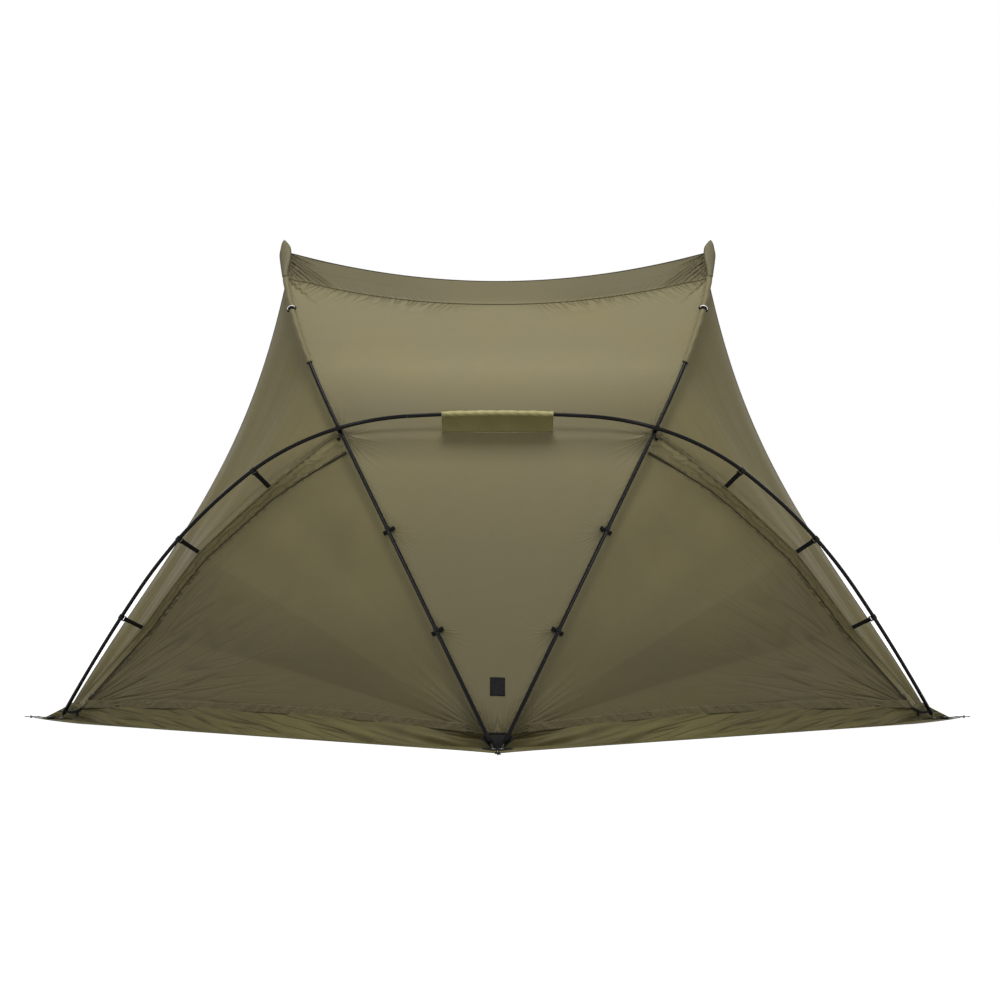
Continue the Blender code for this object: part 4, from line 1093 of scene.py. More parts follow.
def sew(cloth: bpy.types.Object, thickness: float, look: Dressing,
        nodes: Sequence[str] = ()) -> None:
    """Args:
        cloth: The piece, one face thick.
        thickness: Its thickness.
        look: Its material and slot.
        nodes: The construction nodes that it stands for.
    """
    thicken(cloth, thickness)
    put(cloth, look, nodes)


@dataclass(frozen=True)
class Cut:
    """One panel of the skin: its surface, its sewing and the light and shade painted on it."""

    surface: Callable[[Points, Points], Points]
    seams: Callable[[Lattice], Points]
    pulls: Callable[[Lattice], Points]
    # Painted light and shade: a brightness level for each point of the panel.
    shade: Callable[[Points], Points]


@dataclass
class Canopy:
    """The one cloth skin that hangs inside the poles, with its seams and hems."""

    shape: Shape
    finishes: Finishes
    across_cells: int = 100
    low_cells: int = 84
    flap_cells: int = 6
    wing_cells: int = 44
    visor_cells: int = 24
    rim_cells: int = 112
    # The lightest level of painted light, at which the canopy's colour is written.
    lightest: float = 1.45
    thickness: float = 0.0007
    edge_half: float = 0.0012

    def low_s(self) -> Points:
        """Return the running lengths from the hub up to the zip line's end."""
        lay, pole = self.shape.layout, self.shape.pole
        return np.linspace(lay.hub_edge_at, pole.crossing - lay.flap_top_drop, self.low_cells + 1)

    def across(self) -> Points:
        """Return the shares across the back sheet, closer together near its sides."""
        t = np.linspace(-1.0, 1.0, self.across_cells + 1)
        return 1.34 * t - 0.34 * t ** 3

    def side_gap(self, across: Points, s: Points) -> Points:
        """Return how far a place on the back sheet lies from the nearer V seam."""
        return (1.0 - np.abs(across)) * np.abs(self.shape.v_seam(s)[..., 0])

    def back(self, across: Points, s: Points) -> Points:
        """Return the rear centre, the roof and the visor, as one surface."""
        lay, shape = self.shape.layout, self.shape
        start = shape.pole.crossing
        roof = ramp((s - start) / (shape.cross - start)) ** 1.2
        out = np.clip((s - shape.cross) / (shape.end - shape.cross), 0.0, 1.0)
        sag = lay.roof_sag * roof + (lay.front_sag - lay.roof_sag) * out
        point = shape.between(across, s, sag)
        point[..., 1] += lay.visor_reach * out * (1.0 - across ** 2)
        return point + self.back_folds(across, s, out)

    def back_folds(self, across: Points, s: Points, out: Points) -> Points:
        """Return the folds of the back sheet: visor corners, cross seam and crossings."""
        crossing = self.shape.pole.crossing
        side, down = self.side_gap(across, s), self.shape.end - s
        by_seam = ramp(side / 0.02)
        away = np.hypot(side, down)
        angle = np.arctan2(down, np.maximum(side, TINY))
        sharp = np.sin(9.0 * angle + 0.6 * np.sin(away * 30.0))
        folds = 0.0042 * sharp * ramp(away / 0.04) * np.exp(-(away / 0.20) ** 2)
        folds = folds * by_seam * np.where(s > crossing, 1.0, 0.0) * ramp(down / 0.018)
        gap = np.abs(s - crossing)
        pull = np.sin(16.0 * np.arctan2(gap, np.maximum(side, TINY)) + 1.0)
        folds = folds + 0.0016 * pull * np.exp(-(np.hypot(side, gap) / 0.11) ** 2) * by_seam
        drape = wander(across * 2.3, s * 2.1, 7.0) * 0.0022 * ramp(side / 0.15)
        drape = drape * (1.0 - ramp(out / 0.2))
        lengthwise = np.sin(side * 40.0 + 1.0) * np.exp(-(side / 0.11) ** 2) * by_seam
        drape = drape + 0.0012 * lengthwise * (1.0 - ramp((s - crossing) / 0.3))
        return column(folds + drape) * np.array((0.0, -0.45, 0.89))

    def wall(self, w: Points, share: Points) -> Points:
        """Return the rear wall, from the hub (share 0) out to the zip line (share 1)."""
        shape = self.shape
        rim, apex = shape.flap_seam(w), shape.hub_corner()
        point = apex + (rim - apex) * column(share)
        normal = unit((-0.5, -0.75, 0.42))
        hem = np.sin(np.pi * share) * ramp((w - 0.55) / 0.45)
        point = point + shape.hem_lift() * column(hem)
        belly = 0.010 * np.sin(np.pi * share) * np.sin(np.pi * w)
        along, rise = shape.wall_axes()
        offset = point - shape.flap_seam(1.0)
        away = np.linalg.norm(offset, axis=-1)
        angle = np.arctan2(offset @ rise, np.maximum(offset @ along, TINY))
        drift = wander(away * 3.0, angle * 5.0, 1.0)
        phase = 78.0 * angle + 1.9 * np.sin(7.0 * angle) + 1.1 * drift
        fans = np.sin(phase) + 0.35 * np.sin(2.1 * phase + 1.0)
        fade = ramp((away - 0.05) / 0.25) * np.exp(-(away / 0.60) ** 2)
        folds = 0.0022 * fans * fade * (1.0 - ramp(angle / 0.80))
        hub = point - apex
        up = unit(shape.v_seam(1.0) - apex)
        from_hub = np.linalg.norm(hub, axis=-1)
        lean = np.arccos(np.clip((hub @ up) / np.maximum(from_hub, TINY), -1.0, 1.0))
        small = np.sin(46.0 * lean + 1.3 * wander(from_hub * 6.0, lean * 4.0, 2.0))
        steep = np.exp(-(lean / 0.60) ** 2)
        near = ramp(from_hub / 0.05) * np.exp(-(from_hub / 0.30) ** 2)
        folds = folds + 0.0018 * small * near * steep
        soft = 0.0035 * wander(point[..., 0] * 5.0, point[..., 2] * 7.0, 5.0)
        rim_gap = (1.0 - share) * np.linalg.norm(rim - apex, axis=-1)
        calm = ramp(rim_gap / 0.05) * ramp(w / 0.06) * ramp(from_hub / 0.05)
        return point + normal * column((folds + soft) * calm + belly)

    def flap(self, w: Points, share: Points) -> Points:
        """Return the strip between the zip line and the ridge."""
        low, mid = self.shape.flap_seam(w), self.shape.ridge(w)
        point = low + (mid - low) * column(share)
        zigzag = np.sin(70.0 * w + 3.0 * share) * np.sin(np.pi * share) * ramp(w / 0.03)
        taper = 0.35 + 0.65 * np.exp(-(w / 0.35) ** 2)
        return point + column(0.0010 * zigzag * taper) * unit((-0.5, -0.7, 0.5))

    def wing(self, w: Points, share: Points) -> Points:
        """Return the side wing, from the ridge out to its open front edge."""
        shape, start = self.shape, self.shape.pole.crossing
        mid, far = shape.ridge(w), shape.front_edge(w)
        point = mid + (far - mid) * column(share)
        on_seam = shape.v_seam(start + share * (shape.cross - start))
        first, last = shape.v_seam(start), shape.v_seam(shape.cross)
        bow = on_seam - (first + (last - first) * column(share))
        point = point + bow * column((1.0 - w) ** 2)
        hold = np.sin(np.pi * share) * ramp(w / 0.05) * ramp((1.0 - w) / 0.05)
        drift = wander(w * 4.0, share * 3.0, 4.0)
        phase = 2.6 * np.pi * share + 1.1 * np.sin(2.6 * w) + 0.5 * drift
        bands = 0.0075 * np.sin(phase) + 0.0022 * np.sin(2.7 * phase + 4.0 * w)
        tug = np.zeros_like(w)
        for place in (0.25, 0.57, 0.90):
            tug = tug + np.exp(-((w - place) / 0.020) ** 2)
        bands = bands - 0.004 * tug * np.exp(-(share / 0.18) ** 2) * ramp(share / 0.04)
        return point + unit((-0.7, -0.2, 0.3)) * column(bands * hold)

    def back_painted_light(self, points: Points) -> Points:
        """Return the painted light and shade over the rear centre, the roof and the visor."""
        seam = self.shape.v_seam(self.shape.cross)
        # Painted light and shade by height: darker low down and just above the arch, brightest
        # across the middle of the roof.
        level = np.interp(points[..., 2], (0.3, 0.75, 1.1, 1.3, 1.5, 1.6),
                          (0.72, 0.76, 0.93, 0.70, 1.12, 0.98))
        # Painted shade: the visor is made darker, more so towards its sides.
        beyond = ramp((points[..., 1] - seam[1] + 0.02) / 0.04)
        visor = beyond * ramp((points[..., 2] - 1.70) / 0.12)
        return level - (0.38 + 0.10 * ramp((np.abs(points[..., 0]) - 0.1) / 0.4)) * visor

    @staticmethod
    def wall_painted_light(points: Points) -> Points:
        """Return the painted light and shade over a wall, darker low down."""
        return np.interp(points[..., 2], (0.15, 0.3, 0.55, 0.9), (0.84, 0.80, 1.04, 1.16))

    def flap_painted_light(self, points: Points) -> Points:
        """Return the painted light along the strip beside the zip, the lightest level all over."""
        return np.full(points.shape[:-1], self.lightest)

    @staticmethod
    def wing_painted_light(points: Points) -> Points:
        """Return the painted light over a wing, lighter low down."""
        return 1.12 + 0.22 * (1.0 - ramp((points[..., 2] - 0.3) / 0.5))

    def back_pulls(self, grid: Lattice) -> Points:
        """Return what pulls the back sheet: its visor corners, crossings and hub."""
        s, side = grid.b, self.side_gap(grid.a, grid.b)
        tip = self.pull(side, self.shape.end - s, 9.0, 0.0030, 0.012, 0.15, 1.0)
        below = np.abs(s - self.shape.pole.crossing + 0.02)
        cross = self.pull(side, below, 7.0, 0.0016, 0.02, 0.12, 21.0)
        clips = [self.pull(side, s - place, 6.0, 0.0014, 0.015, 0.075, 31.0 + 7.0 * k)
                 for k, place in enumerate(self.shape.layout.v_clips_at)]
        hub = self.pull(side, s, 26.0, 0.0016, 0.05, 0.20, 57.0)
        return self.strongest(tip, cross, *clips, hub)

    def wall_pulls(self, grid: Lattice) -> Points:
        """Return what pulls a wall: its corner and the hub."""
        shape = self.shape
        apex = shape.hub_corner()
        along, rise = shape.wall_axes()
        offset, hub = grid.points - shape.flap_seam(1.0), grid.points - apex
        fan = self.pull(offset @ along, offset @ rise, 9.5, 0.0046, 0.03, 0.78, 1.0)
        up = unit(shape.v_seam(1.0) - apex)
        out = unit(-along - up * float(-along @ up))
        small = self.pull(hub @ out, hub @ up, 17.0, 0.0030, 0.03, 0.26, 41.0)
        lean = np.arctan2(hub @ up, np.maximum(hub @ out, SHORT))
        small[..., 2] *= ramp((lean - 0.35) / 0.7)
        return self.strongest(fan, small)

    def flap_pulls(self, grid: Lattice) -> Points:
        """Return the slanting creases of the strip beside the zip."""
        w, share = grid.a, grid.b
        strength = 0.0008 * np.sin(np.pi * np.clip(share, 0.0, 1.0)) * ramp(w / 0.02)
        strength = strength * (0.4 + 0.6 * np.exp(-(w / 0.4) ** 2))
        return np.stack((w * 34.0 - share * 2.6, share * 0.2, strength), -1)

    def wing_pulls(self, grid: Lattice) -> Points:
        """Return the long creases of a wing, drawn from the straps and the corner."""
        w, share = grid.a, grid.b
        hold = np.sin(np.pi * share) ** 0.5 * ramp(w / 0.1) * ramp((1.0 - w) / 0.02)
        strength = 0.0022 * hold * (0.35 + 0.65 * ramp((w - 0.3) / 0.5))
        return np.stack((share * 7.0 + 0.8 * np.sin(5.0 * w), w * 1.1, strength), -1)

    @staticmethod
    def pull(x: Points, y: Points, count: float, depth: float, start: float, reach: float,
             offset: float) -> Points:
        """Return the folds that a point draws out.

        Args:
            x: Distances from the point along one direction.
            y: Distances across it.
            count: Folds for each radian round the point.
            depth: Their depth in metres.
            start: How far from the point they begin.
            reach: How far they run.
            offset: A number that sets this point's folds apart from another's.

        Returns:
            Angle in folds, distance and depth.
        """
        away = np.hypot(x, y)
        angle = np.arctan2(y, np.maximum(x, SHORT))
        strength = depth * ramp(away / start) * np.exp(-(away / reach) ** 2)
        return np.stack((angle * count + offset, away, strength), -1)

    @staticmethod
    def strongest(*choices: Points) -> Points:
        """Return at each place the pull that is the strongest there."""
        stack = np.stack(choices)
        pick = np.argmax(stack[..., 2], axis=0)[None, ..., None]
        return np.take_along_axis(stack, np.repeat(pick, 3, axis=-1), 0)[0]

    def panel(self, bm: bmesh.types.BMesh, cut: Cut, rows: Points, columns: Points,
              side: Side) -> None:
        """Add one panel to the skin, with its threads, its sewing and its painted light and shade.

        Args:
            bm: The skin so far.
            cut: The panel.
            rows: The first share's values.
            columns: The second share's values.
            side: The half it belongs to.
        """
        grid = Lattice(cut.surface, rows, columns)
        # Painted light and shade, scaled from 0 to 1 for the material to darken the colour with.
        painted_light_levels = np.clip((cut.shade(grid.points) / self.lightest - 0.3) / 0.7, 0.0, 1.0)
        facts = {"seam": cut.seams(grid), "pull": cut.pulls(grid),
                 "corner": self.from_corner(grid), "painted_light": painted_light_levels}
        part = grid.cloth(side, grid.v, facts)
        mesh = bpy.data.meshes.new("panel")
        part.to_mesh(mesh)
        part.free()
        bm.from_mesh(mesh)
        bpy.data.meshes.remove(mesh)

    def from_corner(self, grid: Lattice) -> Points:
        """Return places on the visor from its corner, and far-off ones on the other panels."""
        if grid.surface != self.back:
            return np.full(grid.points.shape, 9.0)
        side = self.side_gap(grid.a, grid.b)
        return np.stack((side, self.shape.end - grid.b, 0.0 * side), -1)

    @staticmethod
    def nearest(*choices: tuple[Points, Points, Points | float]) -> Points:
        """Return run, distance and strength of the nearest of several seams."""
        runs, gaps, powers = zip(*choices)
        gaps = np.stack(gaps)
        pick = np.argmin(gaps, axis=0)[None]
        run = np.take_along_axis(np.stack(runs), pick, 0)[0]
        gap = np.take_along_axis(gaps, pick, 0)[0]
        power = np.stack([np.broadcast_to(p, gap.shape) for p in powers])
        return np.stack((run, gap, np.take_along_axis(power, pick, 0)[0]), -1)

    def back_seams(self, grid: Lattice) -> Points:
        """Return the seams round the back sheet."""
        s, cross = grid.b, self.shape.cross
        inward = np.minimum(grid.u, grid.u[-1:] - grid.u)
        gathered = ramp(inward / 0.03) * (1.0 - 0.8 * ramp((inward - 0.62) / 0.2))
        return self.nearest(
            (s, inward, 0.25),
            (inward + 7.0, np.abs(s - cross), np.where(s < cross, 1.0, 0.7) * gathered),
            (inward + 3.0, np.abs(self.shape.end - s), 0.15),
            (inward + 11.0, np.abs(s - self.shape.layout.hub_edge_at), 0.5))

    def wall_seams(self, grid: Lattice) -> Points:
        """Return the seams round a wall."""
        u, v = grid.u, grid.v
        middle = np.exp(-((v - 0.75) / 0.55) ** 2)
        return self.nearest((v, u, 0.15), (u + 2.0, v[:, -1:] - v, 0.12),
                            (v + 5.0, u[-1:] - u, 0.35 + 0.75 * middle))

    def flap_seams(self, grid: Lattice) -> Points:
        """Return the seams along the flap."""
        return self.nearest((grid.u, grid.v, 0.35), (grid.u + 3.0, grid.v[:, -1:] - grid.v, 0.3))

    def wing_seams(self, grid: Lattice) -> Points:
        """Return the seams round a wing."""
        u, v = grid.u, grid.v
        return self.nearest((u, v, 0.3), (u + 3.0, v[:, -1:] - v, 0.35), (v, u, 0.25))

    def build(self) -> None:
        """Build the skin as one sheet."""
        shape = self.shape
        bm = bmesh.new()
        low = self.low_s()
        stops = (low[-1], shape.pole.crossing, shape.cross, shape.end)
        cells = (self.flap_cells, self.wing_cells, self.visor_cells)
        s = np.concatenate([low] + [np.linspace(a, b, count + 1)[1:]
                                    for a, b, count in zip(stops, stops[1:], cells)])
        back = Cut(self.back, self.back_seams, self.back_pulls, self.back_painted_light)
        self.panel(bm, back, self.across(), s, Side.LEFT)
        w = np.linspace(0.0, 1.0, self.rim_cells + 1)
        w = w + 0.03 * np.sin(math.tau * w) * w
        panels = (
            (Cut(self.wall, self.wall_seams, self.wall_pulls, self.wall_painted_light),
             (low - low[0]) / (low[-1] - low[0])),
            (Cut(self.flap, self.flap_seams, self.flap_pulls, self.flap_painted_light),
             np.linspace(0.0, 1.0, self.flap_cells + 1)),
            (Cut(self.wing, self.wing_seams, self.wing_pulls, self.wing_painted_light),
             np.linspace(0.0, 1.0, self.wing_cells + 1)))
        for side in Side:
            for cut, share in panels:
                self.panel(bm, cut, w, share, side)
        bmesh.ops.remove_doubles(bm, verts=bm.verts, dist=MERGE)
        bmesh.ops.dissolve_degenerate(bm, dist=MERGE, edges=bm.edges)
        bmesh.ops.recalc_face_normals(bm, faces=bm.faces)
        top = max(bm.faces, key=lambda face: face.calc_center_median().z)
        if top.normal.z < 0.0:
            bmesh.ops.reverse_faces(bm, faces=bm.faces)
        sew(finished("canopy", bm, SMOOTH_CLOTH), self.thickness, self.finishes.canopy,
            ["rear_wall_left", "rear_wall_right", "rear_center_panel", "roof_panel",
             "visor_panel", "side_wing_left", "side_wing_right"])

    def hem(self, name: str, edge: Points, inner: Points, width: float, look: Dressing,
            side: Side = Side.LEFT) -> None:
        """Bind an open edge with tape folded over it.

        Args:
            name: The piece's name.
            edge: Points on the edge.
            inner: Points a little inside it.
            width: The tape's width.
            look: Its material and slot.
            side: The half it belongs to.
        """
        inward = unit(inner - edge)
        out = unit(np.cross(inward, np.gradient(edge, axis=0))) * side.sign
        middle = edge + inward * (width / 2 - 0.002)
        profile = round_profile(width / 2, self.edge_half, 10)
        put(sweep(name, middle, out, profile, side), look)


@dataclass
class Trim:
    """Seam tapes, zips and hems that lie on the canopy."""

    shape: Shape
    finishes: Finishes
    canopy: Canopy
    tape_width: float = 0.013
    tape_thickness: float = 0.0008
    zip_width: float = 0.014
    fold_width: float = 0.0055
    binding_width: float = 0.009
    hem_band: float = 0.034

    def across_line(self, s: float) -> Points:
        """Return the back sheet's line at one height."""
        across = self.canopy.across()
        return self.canopy.back(across, np.full_like(across, s))

    def build(self) -> None:
        """Build every tape, zip and hem."""
        end, cross = self.shape.end, self.shape.cross
        hub = self.shape.layout.hub_edge_at
        self.canopy.hem("front_hem_binding", self.across_line(end), self.across_line(end - 0.03),
                        self.binding_width, self.finishes.dark_binding)
        line = self.across_line(cross)
        out = np.cross(np.gradient(line, axis=0), self.across_line(cross + 0.02) - line)
        tape = sweep("cross_seam_fold", line, unit(out),
                     flat_profile(self.fold_width, 0.0014, -0.0002))
        put(tape, self.finishes.binding)
        self.canopy.hem("hub_edge_binding", self.across_line(hub), self.across_line(hub + 0.03),
                        0.012, self.finishes.webbing)
        for side in Side:
            self.build_side(side)

    def build_side(self, side: Side) -> None:
        """Build one half's tapes, zip and hems."""
        shape, canopy, finishes = self.shape, self.canopy, self.finishes
        name = side.value
        w = np.linspace(0.002, 0.998, 150)
        canopy.hem(f"wing_binding_{name}", canopy.wing(w, np.ones_like(w)),
                   canopy.wing(w, np.full_like(w, 0.97)), self.binding_width,
                   finishes.dark_binding, side=side)
        s = np.linspace(shape.layout.hub_edge_at + 0.004, shape.end - 0.01, 220)
        _, _, outward, _ = shape.pole.frame(s)
        tape = sweep(f"pole_seam_tape_{name}", shape.v_seam(s), outward,
                     flat_profile(self.tape_width, self.tape_thickness, 0.0002), side)
        put(tape, finishes.canopy_plain)
        band = grid_sheet(f"hem_band_{name}", self.band, 301, 9, side)
        sew(band, 0.0006, finishes.wall_plain)
        share = np.linspace(0.03, 1.0, 130)
        canopy.hem(f"wall_hem_{name}", canopy.wall(np.ones_like(share), share),
                   canopy.wall(np.full_like(share, 0.985), share), 0.007,
                   finishes.dark_binding, side=side)
        w = np.linspace(0.004, 0.996, 200)
        line = shape.ridge(w)
        out = -unit(unit(shape.flap_seam(w) - line) + unit(shape.front_edge(w) - line))
        ridge = sweep(f"ridge_seam_fold_{name}", line, out,
                      flat_profile(self.fold_width, 0.0020, -0.0006), side)
        put(ridge, finishes.canopy_plain)
        w = np.linspace(0.012, 0.985, 220)
        line = shape.flap_seam(w)
        across = unit(shape.ridge(w) - line) - unit(shape.hub_corner() - line)
        out = unit(np.cross(across, unit(np.gradient(line, axis=0))))
        tape = sweep(f"zip_tape_{name}", line, out,
                     flat_profile(self.zip_width, 0.0007, 0.0002), side)
        put(tape, finishes.binding)
        coil = sweep(f"zip_coil_{name}", line + out * 0.0009, out,
                     round_profile(0.0016, 0.0007, 8), side)
        put(coil, finishes.webbing)

    def band(self, a: Points, b: Points) -> Points:
        """Return the doubled band at a wall's foot: a from the hub out, b up from the hem."""
        share = 0.045 + 0.945 * a
        hem = self.canopy.wall(np.ones_like(share), share)
        above = self.canopy.wall(np.full_like(share, 0.97), share)
        along = unit(self.shape.flap_seam(1.0) - self.shape.hub_corner())
        up = above - hem
        up = unit(up - along * column(up @ along))
        out = unit(np.cross(up, along))
        out = out * -math.copysign(1.0, out[0, 0, 1])
        run = share * 1.95
        crinkle = np.sin(run * 71.0 + 3.0 * np.sin(run * 13.0) + 2.0 * b)
        crinkle = crinkle + 0.6 * np.sin(run * 163.0 - 2.6 * b + 1.0)
        lift = 0.0014 + 0.0011 * crinkle * np.sin(np.pi * b) ** 0.7
        return hem + up * column(self.hem_band * b) + out * column(lift)


@dataclass
class Frame:
    """The bent arch pole and the two V poles, each in its sections."""

    shape: Shape
    finishes: Finishes
    sides: int = 22
    step: float = 0.018
    chamfer: float = 0.0009
    gap: float = 0.0004
    pin_radius: float = 0.003
    boot_radius: float = 0.0094
    boot_length: float = 0.030

    def profile(self, length: float, radius: float, pin_down: bool,
                pin_up: bool) -> list[tuple[float, float]]:
        """Return a section's outline, as pairs of distance and radius."""
        count = max(2, round(length / self.step))
        start, end = (0.0 if pin_down else self.gap), (length if pin_up else length - self.gap)
        line = [(start, 0.0), (start, radius - self.chamfer), (start + self.chamfer, radius)]
        line += [(length * k / count, radius) for k in range(1, count)]
        return line + [(end - self.chamfer, radius), (end, radius - self.chamfer), (end, 0.0)]

    def turned(self, name: str, line: PoleLine, start: float,
               profile: Sequence[tuple[float, float]], side: Side = Side.LEFT,
               sides: int | None = None) -> bpy.types.Object:
        """Spin a profile and lay it along a pole's line."""
        bm = spun([pair[::-1] for pair in profile], sides or self.sides, closed=False)
        coords = np.array([vert.co for vert in bm.verts])
        point, across, outward, _ = line.frame(start + coords[:, 2])
        laid = (point - across * coords[:, :1] + outward * coords[:, 1:2]) * side.flip
        for vert, place in zip(bm.verts, laid):
            vert.co = place
        if side is Side.RIGHT:
            bmesh.ops.reverse_faces(bm, faces=bm.faces)
        return finished(name, bm, SMOOTH_TUBE)

    def pin_reach(self, line: PoleLine, s: float) -> float:
        """Return how far a ground pin reaches below a pole's end."""
        point, _, _, along = line.frame(s)
        rise = abs(float(along[2]))
        return (float(point[2]) - 0.0018 - self.pin_radius * math.sqrt(1.0 - rise * rise)) / rise

    def build(self) -> None:
        """Build every section, its end plugs and pins."""
        lay, radius = self.shape.layout, self.shape.layout.pole_radius
        arch, pole = self.shape.arch, self.shape.pole
        count = 2 * len(lay.bends) + 1
        for k in range(count):
            profile = self.profile(lay.section_length, radius, k == 0, k == count - 1)
            node = f"arch_pole_section_{k + 1}"
            made = self.turned(f"arch_tube_{k + 1}", arch, k * lay.section_length, profile)
            put(made, self.finishes.tube, [node])
        for side in Side:
            for k, place in enumerate(("lower", "middle", "upper")):
                length = pole.length / 3
                profile = self.profile(length, radius, k == 0, k == 2)
                made = self.turned(f"v_tube_{side.value}_{place}", pole, k * length, profile, side)
                put(made, self.finishes.tube, [f"v_pole_{side.value}_{place}"])
            self.build_foot(f"v_pole_foot_{side.value}", pole, side)
            self.build_foot(f"arch_foot_{side.value}", arch, side)

    def build_foot(self, name: str, line: PoleLine, side: Side) -> None:
        """Build a pole's moulded end plug and its steel pin."""
        reach = self.pin_reach(line, 0.0)
        r, big = self.shape.layout.pole_radius, self.boot_radius
        plug = [(-0.011, 0.0), (-0.011, 0.0042), (-0.009, 0.0052), (-0.0035, 0.0064),
                (-0.0012, big - 0.0008), (0.0, big), (self.boot_length * 0.4, big),
                (self.boot_length - 0.003, big - 0.0003), (self.boot_length - 0.001, big - 0.0008),
                (self.boot_length, r + 0.0002), (self.boot_length, r - 0.001),
                (0.002, r - 0.001), (0.002, 0.0)]
        made = self.turned(f"{name}_plug", line, 0.0, plug, side)
        put(made, self.finishes.boot)
        pin = [(-reach, 0.0), (-reach, self.pin_radius - 0.0008),
               (0.0008 - reach, self.pin_radius), (-0.0095, self.pin_radius), (-0.0095, 0.0)]
        made = self.turned(f"{name}_pin", line, 0.0, pin, side, 14)
        dark = line is self.shape.pole
        put(made, self.finishes.pin if dark else self.finishes.dull_steel)


@dataclass
class Sleeves:
    """Cloth that wraps the poles: sleeves, tip pockets and the arch sleeve."""

    shape: Shape
    finishes: Finishes
    thickness: float = 0.0007

    def pole_tube(self, a: Points, b: Points) -> Points:
        """Return the teardrop round a V pole, drawn down to its seam."""
        lay, pole = self.shape.layout, self.shape.pole
        mouth = pole.length + lay.pocket_above_tip - lay.pocket_length - 0.002
        s = lay.sleeve_from + b * (mouth - lay.sleeve_from)
        point, side, outward, _ = pole.frame(s)
        turn = math.tau * a - np.pi / 2
        radius = lay.sleeve_radius + 0.0006 * np.sin(s * 90.0 + 2.0 * turn)
        drop = np.clip(1.0 - np.abs((a + 0.5) % 1.0 - 0.5) / 0.16, 0.0, 1.0) ** 1.5
        squeeze = 1.0 - 0.72 * drop
        outwards = radius * np.sin(turn) - (lay.v_standoff - 0.0025 - lay.sleeve_radius) * drop
        return point - side * column(radius * np.cos(turn) * squeeze) + outward * column(outwards)

    def pocket(self, a: Points, b: Points) -> Points:
        """Return the leaf-shaped tip pocket, from its mouth (b 0) to its rounded end."""
        lay, pole = self.shape.layout, self.shape.pole
        end = pole.length + lay.pocket_above_tip
        point, side, outward, _ = pole.frame(end - lay.pocket_length * (1.0 - b))
        widest, flat_until = 0.62, 0.70
        half = lay.sleeve_radius + (lay.pocket_half_width - lay.sleeve_radius) * ramp(b / widest)
        late = np.clip((b - widest) / (1.0 - widest), 0.0, 1.0)
        pointed = np.maximum(0.0, 1.0 - late ** 1.7) ** 0.75
        half = np.where(b > widest, lay.pocket_half_width * pointed, half)
        thin = np.clip((b - flat_until) / (1.0 - flat_until), 0.0, 1.0)
        deep = lay.sleeve_radius * np.sqrt(1.0 - thin ** 2)
        turn = math.tau * a
        lean = (lay.pocket_half_width - lay.sleeve_radius) * (0.1 * ramp(b) - 0.6 * ramp(
            b / 0.55) * (1.0 - ramp((b - 0.75) / 0.25)))
        pinch = 1.0 - 0.45 * np.abs(np.cos(turn)) ** 6
        crease = 0.0010 * np.sin(30.0 * b + 3.0 * np.cos(turn)) * np.abs(np.sin(turn))
        return (point - side * column(half * np.cos(turn) + lean)
                + outward * column((deep * pinch + crease) * np.sin(turn)))

    def arch_wrap(self, a: Points, b: Points) -> Points:
        """Return the arch sleeve: a flap from the roof seam, then once round the pole."""
        lay, shape, arch = self.shape.layout, self.shape, self.shape.arch
        s = arch.length / 2 + (2.0 * b - 1.0) * lay.arch_sleeve_half
        point, inward, outward, _ = arch.frame(s)
        flap, first, last = 0.375, math.radians(-25.0), math.radians(-345.0)
        turn = first + (last - first) * np.clip(a - flap, 0.0, None) / (1.0 - flap)
        ripple = 0.0009 * np.sin(150.0 * s + 3.0 * turn) + 0.0006 * np.sin(61.0 * s)
        around = point + column(lay.sleeve_radius + ripple) * (
            inward * column(np.cos(turn)) + outward * column(np.sin(turn)))
        row = abs(float(shape.v_seam(shape.pole.crossing)[0]))
        share = point[..., 0] / row
        crossing = np.full_like(share, shape.pole.crossing)
        foot = shape.between(share, crossing, np.zeros_like(share)) - inward * 0.0012
        blend = column(np.minimum(1.0, a / flap))
        slack = np.sin(np.pi * np.clip(a / flap, 0.0, 1.0)) * 0.0035
        fold = np.sin(46.0 * s + 2.0) * 0.5 + np.sin(97.0 * s) * 0.3
        point = foot + (around - foot) * blend
        return point + outward * column(slack * fold)

    def build(self) -> None:
        """Build the sleeves of both sides and the arch sleeve."""
        to_tip = 1.0 - (1.0 - np.linspace(0.0, 1.0, 41)) ** 1.5
        for side in Side:
            name = side.value
            sew(grid_sheet(f"sleeve_{name}", self.pole_tube, 33, 61, side, True), self.thickness,
                self.finishes.canopy_plain,
                [f"pole_sleeve_{name}"])
            sew(grid_sheet(f"tip_horn_{name}", self.pocket, 37, to_tip, side, True),
                self.thickness, self.finishes.lining,
                [f"tip_pocket_{name}"])
            self.rim(side)
        # The arch sleeve takes the cloth lightened with painted light.
        sew(grid_sheet("arch_sleeve_cloth", self.arch_wrap, 41, 61), self.thickness,
            self.finishes.sleeve, ["arch_sleeve"])

    def rim(self, side: Side) -> None:
        """Build the bound edge that runs round a tip pocket."""
        b = 1.0 - (1.0 - np.linspace(0.02, 0.995, 40)) ** 1.5
        one, other = (self.pocket(np.full_like(b, a), b) for a in (0.0, 0.5))
        _, _, outward, _ = self.shape.pole.frame(self.shape.pole.length)
        tape = sweep(f"tip_rim_{side.value}", np.vstack((one, other[::-1])), outward,
                     round_profile(0.0021, 0.0030, 10), side)
        put(tape, self.finishes.binding)


